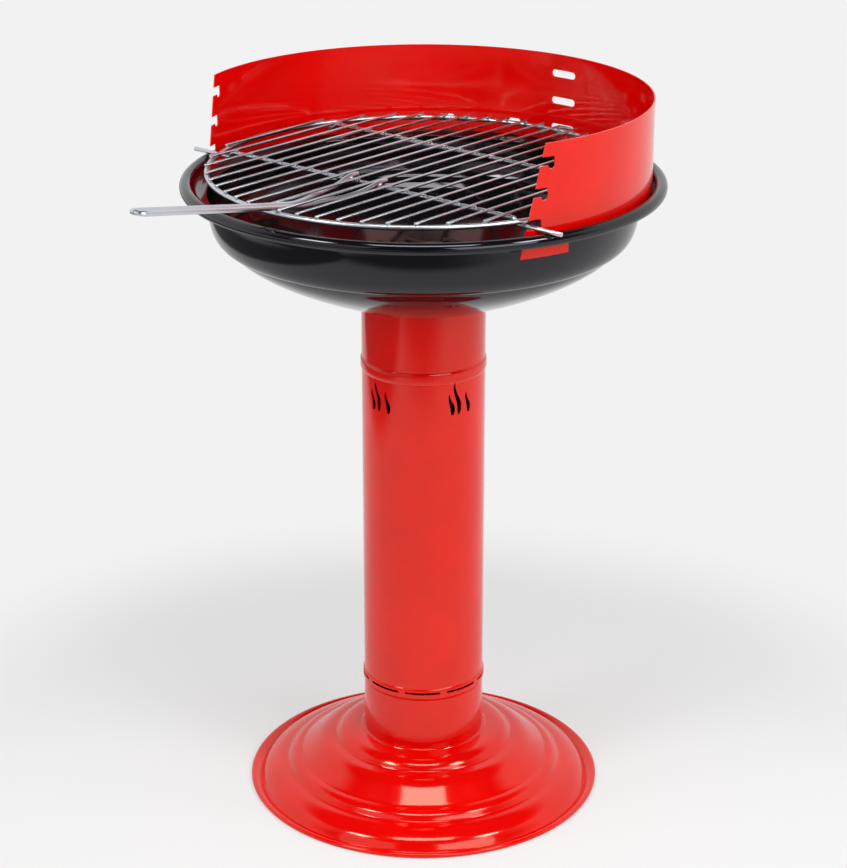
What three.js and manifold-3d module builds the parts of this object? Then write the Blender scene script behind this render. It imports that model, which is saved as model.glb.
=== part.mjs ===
// A free-standing charcoal barbecue: a pressed base, a tubular column with flame-shaped air vents,
// a round bowl, a windshield with three grate heights and a wire cooking grate with a handle.
// Millimetres, +Z up. The handle points to -Y, and the middle of the windshield to +Y.
// Azimuths are measured from -Y towards +X, and heights from the floor.
import * as THREE from 'three';
import { mergeVertices } from 'three/addons/utils/BufferGeometryUtils.js';
import Module from 'manifold-3d';

const wasm = await Module();
wasm.setup();

// General
const degree = Math.PI / 180;
const seatGap = 0.3;
const overrun = 6;
const roundSides = 40;
const wireSides = 8;
const thinWireSides = 6;
const boltSides = 8;
const hexSides = 6;
const curveSteps = 5;
const arcSteps = 3;

// Base
const baseRadius = 185;
const baseSheet = 1.5;
const lipHeight = 5;
const lipFlatWidth = 2.7;
const grooveInset = 10.5;
const grooveHeight = 4.3;
const collarWidth = 2;
const ledgeHeight = 60.4;
const ledgeRise = 1.6;
const ledgeWidth = 16.5;
// Corners of the dome: shares of the way from its collar out to its lip, and of the collar's height
const valleyShares = [0.642, 0.318];
const crestShares = [0.53, 0.468];
const creaseShares = [0.19, 0.81];
const outerBulgeShares = [0.33, 0.7];
const stepBulgeShares = [0.5, 0.43];
const middleBulgeShares = [0.43, 0.64];
const innerBulgeShares = [0.37, 0.6];

// Column
const columnRadius = 62.5;
const columnHeight = 480.6;
const columnSheet = 1.2;
const beadHeight = 13;
const beadSwell = 1.3;
const beadTopShare = 0.3;
const upperBeadDrop = 72;
const lowerBeadRise = 61.1;
const airSlotCount = 9;
const airSlotSweep = 33 * degree;
const airSlotAzimuth = 39.9 * degree;
const airSlotHeight = 4;
const airSlotRise = 1.8;

// Flame-shaped vents: height share, sideways share of the height, half-width share of the width
const flameShares = [
  [0, 0.02, 0.2],
  [0.12, 0.035, 0.42],
  [0.34, 0.03, 0.5],
  [0.52, -0.03, 0.42],
  [0.68, -0.09, 0.32],
  [0.84, -0.125, 0.22],
  [1, -0.11, 0.04],
];
const flameGroupCount = 4;
const flameGroupPitch = 80 * degree;
const firstFlameAzimuth = -85.7 * degree;
const flameWidth = 4;
const tallFlameHeight = 34.5;
const smallFlameHeight = 22.5;
const flameDrop = 111.5;
const leftFlameArc = 7.1;
const rightFlameArc = 12.6;

// Bowl
const bowlSheet = 1.2;
const bowlHoleInset = 20.5;
const bowlFlatRadius = 88;
const bowlCurveRise = 0.7;
const bowlCurveShares = [0.86, 0.6];
const bowlWallInset = 26;
const bowlWallHeight = 104.5;
// The crease: shares of the way from the flat bottom out to the wall, and of the wall's height
const bowlCreaseShares = [0.862, 0.555];
const bowlWallBendShares = [1, 0.06];
const shoulderRise = 3.8;
const shoulderLift = 0.9;
const rimRadius = 239;
const rimRollRadius = 6.3;
const rimRise = 15.6;
const rimHemAngle = 40 * degree;

// Windshield
const shieldInset = 15.7;
const shieldSheet = 1.2;
const shieldAboveNotches = 12.6;
const endLean = 13.13 * degree;
const tabDrop = 9.4;
const tabWidth = 52.1;
const slitPlay = 1.2;
const levelCount = 3;
const levelPitch = 28.5;
const notchHeight = 8.3;
const notchCorner = 2;
const pocketInset = 11.4;
const pocketWidth = 7;
const pocketDepth = 3.4;
const rearSlotWidth = 30;
const rearSlotHeight = 7.5;
const ventSlotWidth = 16;
const ventSlotHeight = 6;
const ventSlotAzimuths = [145.6 * degree, 164.5 * degree, 195.5 * degree, 214.4 * degree];

// Cooking grate
const grateInset = 15.8;
const grateForward = 6;
const ringWire = 5;
const barWire = 4.5;
const rodWire = 2.8;
const hookWire = 4;
const handleWire = 5;
const barOffset = 76.5;
const rodCount = 20;
const rodEdgeInset = 11.8;
const rodOverhang = 2.5;
const stubInset = 4;
const stubRimGap = 0.4;
const joggleLength = 9.5;
const joggleInset = 5.5;
const rearBarOverhang = 3;
const hookWidth = 25;
const hookCorner = 5;
const hookBeyond = 5;
const hookRoot = 10;

// Handle
const handleReach = 384;
const handleTipRise = 42.9;
const handleRootHalfGap = 18.5;
const handleRodGap = 0.4;
const handleLoopRadius = 7.3;
const handleRootBehind = 7;
const handleDipDrop = 5.6;
// Where its dip starts, passes the inner rods and ends, of the way from the front bar to the ring
const handleDipShares = [0.317, 0.515, 0.698];
const handleRiseEnd = 2.5;
const handleSteps = 72;

// Coal grate
const coalRadius = 115;
const coalRingWire = 5;
const coalRodWire = 4;
const coalRodCount = 9;
const coalEdgeInset = 15;
const coalRodOverhang = 2;

// Plates and bolts that join the column to the base and to the bowl
const plateThickness = 2.5;
const boltCount = 3;
const boltShank = 6;
const boltHexWidth = 10;
const boltHeadHeight = 4;
const nutHeight = 5;
const boltTail = 2;
const boltInset = 9;
const boltAzimuth = 30 * degree;

// Heights and radii that follow from the sizes above
const bowlBottom = ledgeHeight + columnHeight;
const upperBeadMiddle = bowlBottom - upperBeadDrop;
const lowerBeadMiddle = ledgeHeight + lowerBeadRise;
const flameFoot = bowlBottom - flameDrop;
const rimTop = bowlBottom + bowlWallHeight + rimRise;
const bowlWallRadius = rimRadius - bowlWallInset;
const bowlHoleRadius = columnRadius - bowlHoleInset;
const boltCircleRadius = columnRadius - boltInset;
const shieldRadius = rimRadius - shieldInset;
const grateRadius = shieldRadius - grateInset;
const stubReach = rimRadius - stubInset;
const rodPitch = (2 * (grateRadius - rodEdgeInset)) / (rodCount - 1);
const coalRodPitch = (2 * (coalRadius - coalEdgeInset)) / (coalRodCount - 1);

// The column stands at x = 0, this far behind the middle of the footprint.
const columnY = (handleReach - rimRadius) / 2;

const redEnamel = new THREE.MeshStandardMaterial({ color: 0xd8150f, roughness: 0.14, metalness: 0 });
const blackEnamel = new THREE.MeshStandardMaterial({ color: 0x1b1c20, roughness: 0.1, metalness: 0 });
const chromedWire = new THREE.MeshStandardMaterial({ color: 0xc3c6ca, roughness: 0.22, metalness: 1 });
const coalSteel = new THREE.MeshStandardMaterial({ color: 0x4b4a48, roughness: 0.6, metalness: 0.8 });
const zincSteel = new THREE.MeshStandardMaterial({ color: 0xa9adb1, roughness: 0.35, metalness: 1 });

function weld(geometry) {
  geometry.deleteAttribute('normal');
  geometry.deleteAttribute('uv');
  return mergeVertices(geometry);
}

function toSolid(geometry) {
  const welded = weld(geometry.clone());
  return new wasm.Manifold(new wasm.Mesh({
    numProp: 3,
    vertProperties: new Float32Array(welded.attributes.position.array),
    triVerts: new Uint32Array(welded.index.array),
  }));
}

function toGeometry(solid) {
  const mesh = solid.getMesh();
  const geometry = new THREE.BufferGeometry();
  geometry.setAttribute('position', new THREE.BufferAttribute(mesh.vertProperties, mesh.numProp));
  geometry.setIndex(new THREE.BufferAttribute(mesh.triVerts, 1));
  geometry.computeVertexNormals();
  return geometry;
}

function cut(body, cutters) {
  return toGeometry(cutters.reduce((rest, cutter) => rest.subtract(toSolid(cutter)), toSolid(body)));
}

function common(first, second) {
  return toGeometry(toSolid(first).intersect(toSolid(second)));
}

function join(first, second) {
  return toGeometry(toSolid(first).add(toSolid(second)));
}

function point(x, y) {
  return new THREE.Vector2(x, y);
}

// Turns a closed outline in (radius, height) about the vertical axis. Its first corner faces -Y.
function turned(outline) {
  const closed = THREE.ShapeUtils.area(outline) > 0 ? outline : outline.slice().reverse();
  return weld(new THREE.LatheGeometry([...closed, closed[0]], roundSides).rotateX(Math.PI / 2));
}

// A round upright wall between two radii
function upright(inner, outer, bottom, top) {
  return turned([point(inner, bottom), point(outer, bottom), point(outer, top), point(inner, top)]);
}

// A sheet's closed outline: the given skin, and the same line moved to its left by the thickness
function sheetOutline(skin, thickness) {
  const left = skin.map((corner, i) => {
    const into = corner.clone().sub(skin[Math.max(i - 1, 0)]);
    const out = skin[Math.min(i + 1, skin.length - 1)].clone().sub(corner);
    const before = (i > 0 ? into : out).clone().normalize();
    const after = (i < skin.length - 1 ? out : into).clone().normalize();
    const along = before.clone().add(after).normalize();
    const stretch = thickness / along.dot(before);
    return point(corner.x - along.y * stretch, corner.y + along.x * stretch);
  });
  return [...skin, ...left.reverse()];
}

// A curve from one corner to another. The shares place its bend between them, across and up.
function bend(from, to, [acrossShare, upShare], steps = curveSteps) {
  const middle = point(from.x + (to.x - from.x) * acrossShare, from.y + (to.y - from.y) * upShare);
  return new THREE.QuadraticBezierCurve(from, middle, to).getPoints(steps);
}

// A prism that crosses an upright wall. Its shape has the arc from the azimuth as x and height as y.
function wallCutter(shape, radius, azimuth) {
  const depth = 2 * overrun;
  const prism = new THREE.ExtrudeGeometry(shape, { depth, bevelEnabled: false, curveSegments: arcSteps });
  return prism.translate(0, 0, radius - overrun).rotateX(Math.PI / 2).rotateZ(azimuth);
}

function roundedSlot(width, height, middle) {
  const end = height / 2;
  const half = width / 2 - end;
  const shape = new THREE.Shape();
  shape.absarc(half, middle, end, -Math.PI / 2, Math.PI / 2, false);
  shape.absarc(-half, middle, end, Math.PI / 2, 3 * Math.PI / 2, false);
  return shape;
}

// An upright wedge from the axis outwards, used to cut a stretch of a round wall
function sector(from, to, radius, bottom, top) {
  const shape = new THREE.Shape();
  shape.moveTo(0, 0);
  shape.lineTo(radius * Math.sin(from), -radius * Math.cos(from));
  shape.absarc(0, 0, radius, from - Math.PI / 2, to - Math.PI / 2, false);
  const depth = top - bottom;
  const wedge = new THREE.ExtrudeGeometry(shape, { depth, bevelEnabled: false, curveSegments: roundSides });
  return wedge.translate(0, 0, bottom);
}

// A piece of flat ring between two radii, swept from one azimuth to another
function arcBlock(innerRadius, outerRadius, from, to, bottom, top) {
  const shape = new THREE.Shape();
  shape.absarc(0, 0, outerRadius, from - Math.PI / 2, to - Math.PI / 2, false);
  shape.absarc(0, 0, innerRadius, to - Math.PI / 2, from - Math.PI / 2, true);
  const depth = top - bottom;
  const block = new THREE.ExtrudeGeometry(shape, { depth, bevelEnabled: false, curveSegments: roundSides });
  return block.translate(0, 0, bottom);
}

function rod(diameter, length, sides) {
  return weld(new THREE.CylinderGeometry(diameter / 2, diameter / 2, length, sides));
}

// A bent wire with a section at each corner of its route
class BentWire extends THREE.Curve {
  constructor(corners) {
    super();
    this.corners = corners;
  }

  getPoint(share) {
    const place = Math.min(Math.max(share, 0), 1) * (this.corners.length - 1);
    const i = Math.min(Math.floor(place), this.corners.length - 2);
    return this.corners[i].clone().lerp(this.corners[i + 1], place - i);
  }

  getUtoTmapping(share) {
    return share;
  }
}

function wire(path, diameter, steps, sides) {
  const section = new THREE.Shape();
  section.absarc(0, 0, diameter / 2, 0, 2 * Math.PI, false);
  return weld(new THREE.ExtrudeGeometry(section, { steps, extrudePath: path, curveSegments: sides / 2 }));
}

function bentWire(corners, diameter, sides) {
  return wire(new BentWire(corners), diameter, corners.length - 1, sides);
}

function piece(name, geometry, material) {
  const mesh = new THREE.Mesh(geometry, material.clone());
  mesh.name = name;
  return mesh;
}

function numbered(name, i) {
  return `${name}_${String(i + 1).padStart(2, '0')}`;
}

// Base
function baseDome() {
  const lipRadius = lipHeight / 2;
  const lipMiddle = baseRadius - lipRadius;
  const lip = new THREE.Path();
  lip.absarc(lipMiddle, lipRadius, lipRadius, -Math.PI / 2, Math.PI / 2, false);
  const groove = point(baseRadius - grooveInset, grooveHeight);
  const collar = point(columnRadius + 2 * collarWidth, ledgeHeight - ledgeRise);
  const corner = ([outShare, upShare]) => (
    point(collar.x + (baseRadius - collar.x) * outShare, collar.y * upShare));
  const valley = corner(valleyShares);
  const crest = corner(crestShares);
  const crease = corner(creaseShares);
  const skin = [
    point(lipMiddle - lipFlatWidth, 0),
    ...lip.getPoints(arcSteps),
    ...bend(groove, valley, outerBulgeShares, 4),
    ...bend(valley, crest, stepBulgeShares, 2).slice(1),
    ...bend(crest, crease, middleBulgeShares, 3).slice(1),
    ...bend(crease, collar, innerBulgeShares, 3).slice(1),
    point(columnRadius + collarWidth, ledgeHeight),
    point(columnRadius - ledgeWidth, ledgeHeight),
  ];
  const holes = boltPlaces().map(([x, y]) => boltHole(x, y, ledgeHeight));
  return cut(turned(sheetOutline(skin, baseSheet)), holes);
}

// Column
function bead(middle) {
  const half = beadHeight / 2;
  const flat = half * beadTopShare;
  return [
    point(columnRadius, middle - half),
    point(columnRadius + beadSwell, middle - flat),
    point(columnRadius + beadSwell, middle + flat),
    point(columnRadius, middle + half),
  ];
}

function flameEdge(height, side) {
  return flameShares.map(([up, across, half]) => (
    point(across * height + side * half * flameWidth, flameFoot + up * height)));
}

function flame(height) {
  return new THREE.Shape([...flameEdge(height, 1), ...flameEdge(height, -1).reverse()]);
}

function flameCutters() {
  const group = [
    [smallFlameHeight, -leftFlameArc],
    [tallFlameHeight, 0],
    [smallFlameHeight, rightFlameArc],
  ];
  const cutters = [];
  for (let i = 0; i < flameGroupCount; i += 1) {
    const middle = firstFlameAzimuth + i * flameGroupPitch;
    for (const [height, arc] of group) {
      cutters.push(wallCutter(flame(height), columnRadius, middle + arc / columnRadius));
    }
  }
  return cutters;
}

function airSlotCutters() {
  const bottom = lowerBeadMiddle + airSlotRise - airSlotHeight / 2;
  const inner = columnRadius - overrun;
  const outer = columnRadius + overrun;
  const cutters = [];
  for (let i = 0; i < airSlotCount; i += 1) {
    const middle = airSlotAzimuth + (i * 2 * Math.PI) / airSlotCount;
    const from = middle - airSlotSweep / 2;
    cutters.push(arcBlock(inner, outer, from, from + airSlotSweep, bottom, bottom + airSlotHeight));
  }
  return cutters;
}

function columnTube() {
  const skin = [
    point(columnRadius, ledgeHeight),
    ...bead(lowerBeadMiddle),
    ...bead(upperBeadMiddle),
    point(columnRadius, bowlBottom),
  ];
  return cut(turned(sheetOutline(skin, columnSheet)), [...airSlotCutters(), ...flameCutters()]);
}

// Bolted joints
function boltPlaces() {
  return Array.from({ length: boltCount }, (_, i) => {
    const azimuth = boltAzimuth + (i * 2 * Math.PI) / boltCount;
    return [boltCircleRadius * Math.sin(azimuth), -boltCircleRadius * Math.cos(azimuth)];
  });
}

function boltHole(x, y, height) {
  const hole = rod(boltShank + 2 * seatGap, 2 * overrun, boltSides).rotateX(Math.PI / 2);
  return hole.translate(x, y, height);
}

function hexPrism(height) {
  return rod(boltHexWidth / Math.cos(Math.PI / hexSides), height, hexSides).rotateX(Math.PI / 2);
}

function bolt(grip) {
  const below = grip + nutHeight + boltTail;
  const length = below + boltHeadHeight / 2;
  const shank = rod(boltShank, length, boltSides).rotateX(Math.PI / 2).translate(0, 0, length / 2 - below);
  return join(hexPrism(boltHeadHeight).translate(0, 0, boltHeadHeight / 2), shank);
}

function nut() {
  return cut(hexPrism(nutHeight).translate(0, 0, nutHeight / 2), [boltHole(0, 0, nutHeight / 2)]);
}

// A flat disc or ring that fits inside the column, drilled for the bolts
function columnPlate(holeRadius, bottom) {
  const outer = columnRadius - columnSheet - seatGap;
  const disc = rod(2 * outer, plateThickness, roundSides).rotateX(Math.PI / 2);
  const holes = boltPlaces().map(([x, y]) => boltHole(x, y, 0));
  if (holeRadius > 0) {
    holes.push(rod(2 * holeRadius, 2 * overrun, roundSides).rotateX(Math.PI / 2));
  }
  return cut(disc, holes).translate(0, 0, bottom + plateThickness / 2);
}

// Bowl
const bowlSide = {
  foot: point(bowlFlatRadius, bowlBottom + bowlCurveRise),
  crease: point(
    bowlFlatRadius + (bowlWallRadius - bowlFlatRadius) * bowlCreaseShares[0],
    bowlBottom + bowlWallHeight * bowlCreaseShares[1],
  ),
};
const shoulderInner = point(bowlWallRadius + shoulderLift, bowlBottom + bowlWallHeight + shoulderLift);
const rollMiddle = point(rimRadius - rimRollRadius, rimTop - rimRollRadius);
const shoulderOuter = point(rollMiddle.x - rimRollRadius + bowlSheet, shoulderInner.y + shoulderRise);

function bowlShell() {
  const wallTop = point(bowlWallRadius, bowlBottom + bowlWallHeight);
  const roll = new THREE.Path();
  roll.absarc(rollMiddle.x, rollMiddle.y, rimRollRadius - bowlSheet, Math.PI, -rimHemAngle, true);
  const skin = [
    point(bowlHoleRadius, bowlBottom),
    point(bowlFlatRadius - bowlCurveRise, bowlBottom),
    ...bend(bowlSide.foot, bowlSide.crease, bowlCurveShares),
    ...bend(bowlSide.crease, wallTop, bowlWallBendShares, 3).slice(1),
    shoulderInner,
    shoulderOuter,
    ...roll.getPoints(arcSteps),
  ];
  const holes = boltPlaces().map(([x, y]) => boltHole(x, y, bowlBottom));
  return cut(turned(sheetOutline(skin, bowlSheet)), [...holes, ...tabSlits()]);
}

// The windshield's tabs pass down through slits in the bowl's shoulder.
function tabSlits() {
  const half = shieldSheet / 2 + seatGap;
  const from = (endArc(shieldFoot) - slitPlay) / shieldRadius;
  const to = (endArc(shieldFoot) + tabWidth + slitPlay) / shieldRadius;
  const bottom = shoulderInner.y - overrun;
  const top = shoulderOuter.y + overrun;
  const around = upright(shieldRadius - half, shieldRadius + half, bottom, top);
  return [[from, to], [-to, -from]].map(([start, end]) => (
    common(around, sector(start, end, rimRadius, bottom, top))));
}

// Height of the bowl's inside floor at a radius on its curved side, and how steep it is there
function bowlFloor(radius) {
  const { foot, crease } = bowlSide;
  const [acrossShare, upShare] = bowlCurveShares;
  const across = (radius - foot.x) / (crease.x - foot.x);
  const curl = 1 - 2 * acrossShare;
  const share = (Math.sqrt(acrossShare ** 2 + curl * across) - acrossShare) / curl;
  const rise = 2 * share * (1 - share) * upShare + share ** 2;
  const slope = ((upShare + share * (1 - 2 * upShare)) * (crease.y - foot.y))
    / ((acrossShare + share * curl) * (crease.x - foot.x));
  return { height: foot.y + rise * (crease.y - foot.y), slope: Math.atan(slope) };
}

// Cooking grate levels
const grateY = -grateForward;
const frontBarY = grateY - barOffset;
const stubAxis = rimTop + stubRimGap + barWire / 2;
const ringAxis = stubAxis + barWire / 2 + seatGap + ringWire / 2;
const wireTop = ringAxis + ringWire / 2;
const barAxis = wireTop - barWire / 2;
const rodAxis = wireTop + seatGap + rodWire / 2;
const hookAxis = ringAxis - ringWire / 2 - seatGap - hookWire / 2;

// Windshield
const notchFloor = stubAxis - barWire / 2 - seatGap + pocketDepth;
const notchRoof = notchFloor + notchHeight;
const shieldFoot = shoulderInner.y - tabDrop;
const shieldTop = notchRoof + (levelCount - 1) * levelPitch + shieldAboveNotches;

// The arc from the front to the slanted end's edge at a height. The pocket for the bar lies behind it.
function endArc(height) {
  const pocketArc = shieldRadius * Math.acos(-frontBarY / shieldRadius);
  return pocketArc - pocketInset + (height - notchFloor) * Math.tan(endLean);
}

// One side's cutter for a J-shaped notch. The front bar's end drops into the pocket at its inner end.
function notchCutter(level, side) {
  const pocketRadius = pocketWidth / 2;
  const inner = pocketRadius;
  const mouth = -pocketInset - overrun;
  const pocketMiddle = notchFloor - pocketDepth + pocketRadius;
  const shape = new THREE.Shape();
  shape.moveTo(mouth, notchRoof);
  shape.lineTo(inner - notchCorner, notchRoof);
  shape.quadraticCurveTo(inner, notchRoof, inner, notchRoof - notchCorner);
  shape.lineTo(inner, pocketMiddle);
  shape.absarc(0, pocketMiddle, pocketRadius, 0, -Math.PI, true);
  shape.lineTo(-inner, notchFloor);
  shape.lineTo(mouth, notchFloor);
  shape.closePath();
  const rise = level * levelPitch;
  const arc = endArc(notchFloor + rise) + pocketInset;
  const cutter = wallCutter(shape, shieldRadius, arc / shieldRadius).translate(0, 0, rise);
  return side > 0 ? cutter : mirrored(cutter);
}

function mirrored(geometry) {
  const solid = toSolid(geometry).mirror([1, 0, 0]);
  return toGeometry(solid);
}

// The wedge between the windshield's two slanted ends, one side of it
function endCutter(side) {
  const bottom = shieldFoot - overrun;
  const top = shieldTop + overrun;
  const middleArc = endArc((bottom + top) / 2);
  const halfLean = endArc(top) - middleArc;
  const shape = new THREE.Shape();
  shape.moveTo(-halfLean - overrun, bottom);
  shape.lineTo(-halfLean, bottom);
  shape.lineTo(halfLean, top);
  shape.lineTo(-halfLean - overrun, top);
  shape.closePath();
  const cutter = wallCutter(shape, shieldRadius, middleArc / shieldRadius);
  return side > 0 ? cutter : mirrored(cutter);
}

function windshield() {
  const inner = shieldRadius - shieldSheet / 2;
  const outer = shieldRadius + shieldSheet / 2;
  const wall = upright(inner, outer, shieldFoot, shieldTop);
  const shoulderSlope = (shoulderOuter.y - shoulderInner.y) / (shoulderOuter.x - shoulderInner.x);
  const shoulderTop = shoulderInner.y + (outer - shoulderInner.x) * shoulderSlope
    + bowlSheet * Math.hypot(1, shoulderSlope);
  const seat = shoulderTop + seatGap;
  const reach = rimRadius + overrun;
  const frontAzimuth = (endArc(shieldFoot) - overrun / 2) / shieldRadius;
  const tabAzimuth = (endArc(shieldFoot) + tabWidth) / shieldRadius;
  const cutters = [
    sector(-frontAzimuth, frontAzimuth, reach, shieldFoot - overrun, shieldTop + overrun),
    sector(tabAzimuth, 2 * Math.PI - tabAzimuth, reach, shieldFoot - overrun, seat),
  ];
  for (const side of [1, -1]) {
    cutters.push(endCutter(side));
    for (let level = 0; level < levelCount; level += 1) {
      cutters.push(notchCutter(level, side));
    }
  }
  const slotMiddle = hookAxis - hookWire / 2 - seatGap + rearSlotHeight / 2;
  for (let level = 0; level < levelCount; level += 1) {
    const slot = roundedSlot(rearSlotWidth, rearSlotHeight, slotMiddle + level * levelPitch);
    cutters.push(wallCutter(slot, shieldRadius, Math.PI));
  }
  for (const azimuth of ventSlotAzimuths) {
    cutters.push(wallCutter(roundedSlot(ventSlotWidth, ventSlotHeight, slotMiddle), shieldRadius, azimuth));
  }
  return cut(wall, cutters);
}

// Cooking grate, drawn about its own middle
function ringOfWire(radius, diameter, sides) {
  return weld(new THREE.TorusGeometry(radius, diameter / 2, sides, roundSides));
}

function crossBar(reach) {
  const ringCrossing = Math.sqrt(grateRadius ** 2 - barOffset ** 2);
  const low = ringCrossing - joggleInset;
  const high = low - joggleLength;
  const corners = [
    new THREE.Vector3(-reach, 0, stubAxis),
    new THREE.Vector3(-low, 0, stubAxis),
    new THREE.Vector3(-high, 0, barAxis),
    new THREE.Vector3(high, 0, barAxis),
    new THREE.Vector3(low, 0, stubAxis),
    new THREE.Vector3(reach, 0, stubAxis),
  ];
  return bentWire(corners, barWire, wireSides);
}

function hookBend(side, turn) {
  const half = (hookWidth - hookWire) / 2;
  const crossY = shieldRadius + shieldSheet / 2 + hookBeyond + hookWire / 2 - grateY;
  const x = half - hookCorner * (1 - Math.sin(turn));
  const y = crossY - hookCorner * (1 - Math.cos(turn));
  return new THREE.Vector3(side * x, y, hookAxis);
}

function rearHook() {
  const half = (hookWidth - hookWire) / 2;
  const rootY = grateRadius - hookRoot;
  const turns = [0, 1, 2, 3].map((i) => ((3 - i) / 3) * (Math.PI / 2));
  const left = [new THREE.Vector3(-half, rootY, hookAxis), ...turns.map((turn) => hookBend(-1, turn))];
  const right = turns.map((turn) => hookBend(1, turn)).reverse();
  return bentWire([...left, ...right, new THREE.Vector3(half, rootY, hookAxis)], hookWire, wireSides);
}

// Half of the handle's wire, from its end on the front bar to the straight part beyond the ring
function handleSide(side) {
  const high = wireTop + seatGap + handleWire / 2;
  const low = high - handleDipDrop;
  const root = handleRootHalfGap;
  const firstRod = rodPitch / 2;
  const neck = firstRod - (rodWire + handleWire) / 2 - handleRodGap;
  const ringFront = -grateRadius;
  const dip = handleDipShares.map((share) => -barOffset + (ringFront + barOffset) * share);
  const tipY = -(handleReach - grateForward) + handleWire / 2 + handleLoopRadius;
  const places = [
    [root, -barOffset + handleRootBehind, high],
    [root, -barOffset - handleRootBehind / 4, high],
    [root, -barOffset - handleRootBehind, high - handleDipDrop / 8],
    [(root + firstRod) / 2 + handleWire / 2, (dip[0] - barOffset) / 2, (high + 2 * low) / 3],
    [(root + firstRod) / 2 + handleWire / 8, dip[0], low],
    [firstRod, dip[1], low],
    [neck + handleWire / 5, dip[2], low],
    [neck, dip[2] - 2 * handleWire, (5 * low + high) / 6],
    [neck, ringFront + 3 * ringWire, (low + 2 * high) / 3],
    [neck, ringFront + handleRiseEnd, high],
    [neck, ringFront - handleRiseEnd * 2, high + handleRiseEnd / 2],
    [handleLoopRadius, tipY, rimTop + handleTipRise],
  ];
  return places.map(([x, y, z]) => new THREE.Vector3(side * x, y, z));
}

function handle() {
  const right = handleSide(1);
  const left = handleSide(-1).reverse();
  const tip = right[right.length - 1];
  const slope = (tip.z - right[right.length - 2].z) / (right[right.length - 2].y - tip.y);
  const turns = [1, 2, 3].map((i) => (i / 4) * Math.PI);
  const loop = turns.map((turn) => {
    const forward = handleLoopRadius * Math.sin(turn);
    return new THREE.Vector3(handleLoopRadius * Math.cos(turn), tip.y - forward, tip.z + forward * slope);
  });
  const path = new THREE.CatmullRomCurve3([...right, ...loop, ...left], false, 'centripetal');
  return wire(path, handleWire, handleSteps, thinWireSides);
}

function halfChord(radius, x) {
  return Math.sqrt(radius ** 2 - x ** 2);
}

function cookingGrate() {
  const grate = new THREE.Group();
  grate.position.set(0, grateY, 0);
  const ring = piece('cooking_ring', ringOfWire(grateRadius, ringWire, wireSides), chromedWire);
  ring.position.z = ringAxis;
  grate.add(ring);
  const frontBar = piece('cooking_bar_front', crossBar(stubReach), chromedWire);
  frontBar.position.y = -barOffset;
  grate.add(frontBar);
  const rearReach = halfChord(grateRadius, barOffset) + rearBarOverhang;
  const rearBar = piece('cooking_bar_rear', crossBar(rearReach), chromedWire);
  rearBar.position.y = barOffset;
  grate.add(rearBar);
  for (let i = 0; i < rodCount; i += 1) {
    const x = (i - (rodCount - 1) / 2) * rodPitch;
    const length = 2 * (halfChord(grateRadius, x) + rodOverhang);
    const mesh = piece(numbered('cooking_rod', i), rod(rodWire, length, thinWireSides), chromedWire);
    mesh.position.set(x, 0, rodAxis);
    grate.add(mesh);
  }
  grate.add(piece('cooking_hook', rearHook(), chromedWire));
  grate.add(piece('cooking_handle', handle(), chromedWire));
  return grate;
}

// Coal grate, resting on the bowl's curved floor
function coalGrate() {
  const grate = new THREE.Group();
  const floor = bowlFloor(coalRadius);
  const stand = (bowlSheet + seatGap + coalRingWire / 2) / Math.cos(floor.slope);
  grate.position.set(0, 0, floor.height + stand);
  grate.add(piece('coal_ring', ringOfWire(coalRadius, coalRingWire, thinWireSides), coalSteel));
  for (let i = 0; i < coalRodCount; i += 1) {
    const y = (i - (coalRodCount - 1) / 2) * coalRodPitch;
    const length = 2 * (halfChord(coalRadius, y) + coalRodOverhang);
    const mesh = piece(numbered('coal_rod', i), rod(coalRodWire, length, thinWireSides), coalSteel);
    mesh.rotation.z = Math.PI / 2;
    mesh.position.set(0, y, coalRingWire / 2 + seatGap + coalRodWire / 2);
    grate.add(mesh);
  }
  return grate;
}

function fasteners() {
  const group = new THREE.Group();
  boltPlaces().forEach(([x, y], i) => {
    const bowlBolt = piece(numbered('bowl_bolt', i), bolt(bowlSheet + plateThickness), zincSteel);
    bowlBolt.position.set(x, y, bowlBottom + bowlSheet);
    const bowlNut = piece(numbered('bowl_nut', i), nut(), zincSteel);
    bowlNut.position.set(x, y, bowlBottom - plateThickness - nutHeight);
    const baseBolt = piece(numbered('base_bolt', i), bolt(baseSheet + plateThickness), zincSteel);
    baseBolt.rotation.x = Math.PI;
    baseBolt.position.set(x, y, ledgeHeight - baseSheet);
    const baseNut = piece(numbered('base_nut', i), nut(), zincSteel);
    baseNut.position.set(x, y, ledgeHeight + plateThickness);
    group.add(bowlBolt, bowlNut, baseBolt, baseNut);
  });
  return group;
}

const barbecue = new THREE.Group();
barbecue.position.set(0, columnY, 0);
barbecue.add(piece('base_dome', baseDome(), redEnamel));
barbecue.add(piece('column_tube', columnTube(), redEnamel));
barbecue.add(piece('column_foot_plate', columnPlate(0, ledgeHeight), zincSteel));
barbecue.add(piece('column_top_ring', columnPlate(bowlHoleRadius, bowlBottom - plateThickness), zincSteel));
barbecue.add(piece('bowl', bowlShell(), blackEnamel));
barbecue.add(piece('windshield', windshield(), redEnamel));
barbecue.add(fasteners(), coalGrate(), cookingGrate());

export default barbecue;
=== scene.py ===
"""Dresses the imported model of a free-standing charcoal barbecue and sets it in a plain studio."""
from math import acos, ceil, cos, hypot, pi, radians, sin, sqrt, tan

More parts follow.
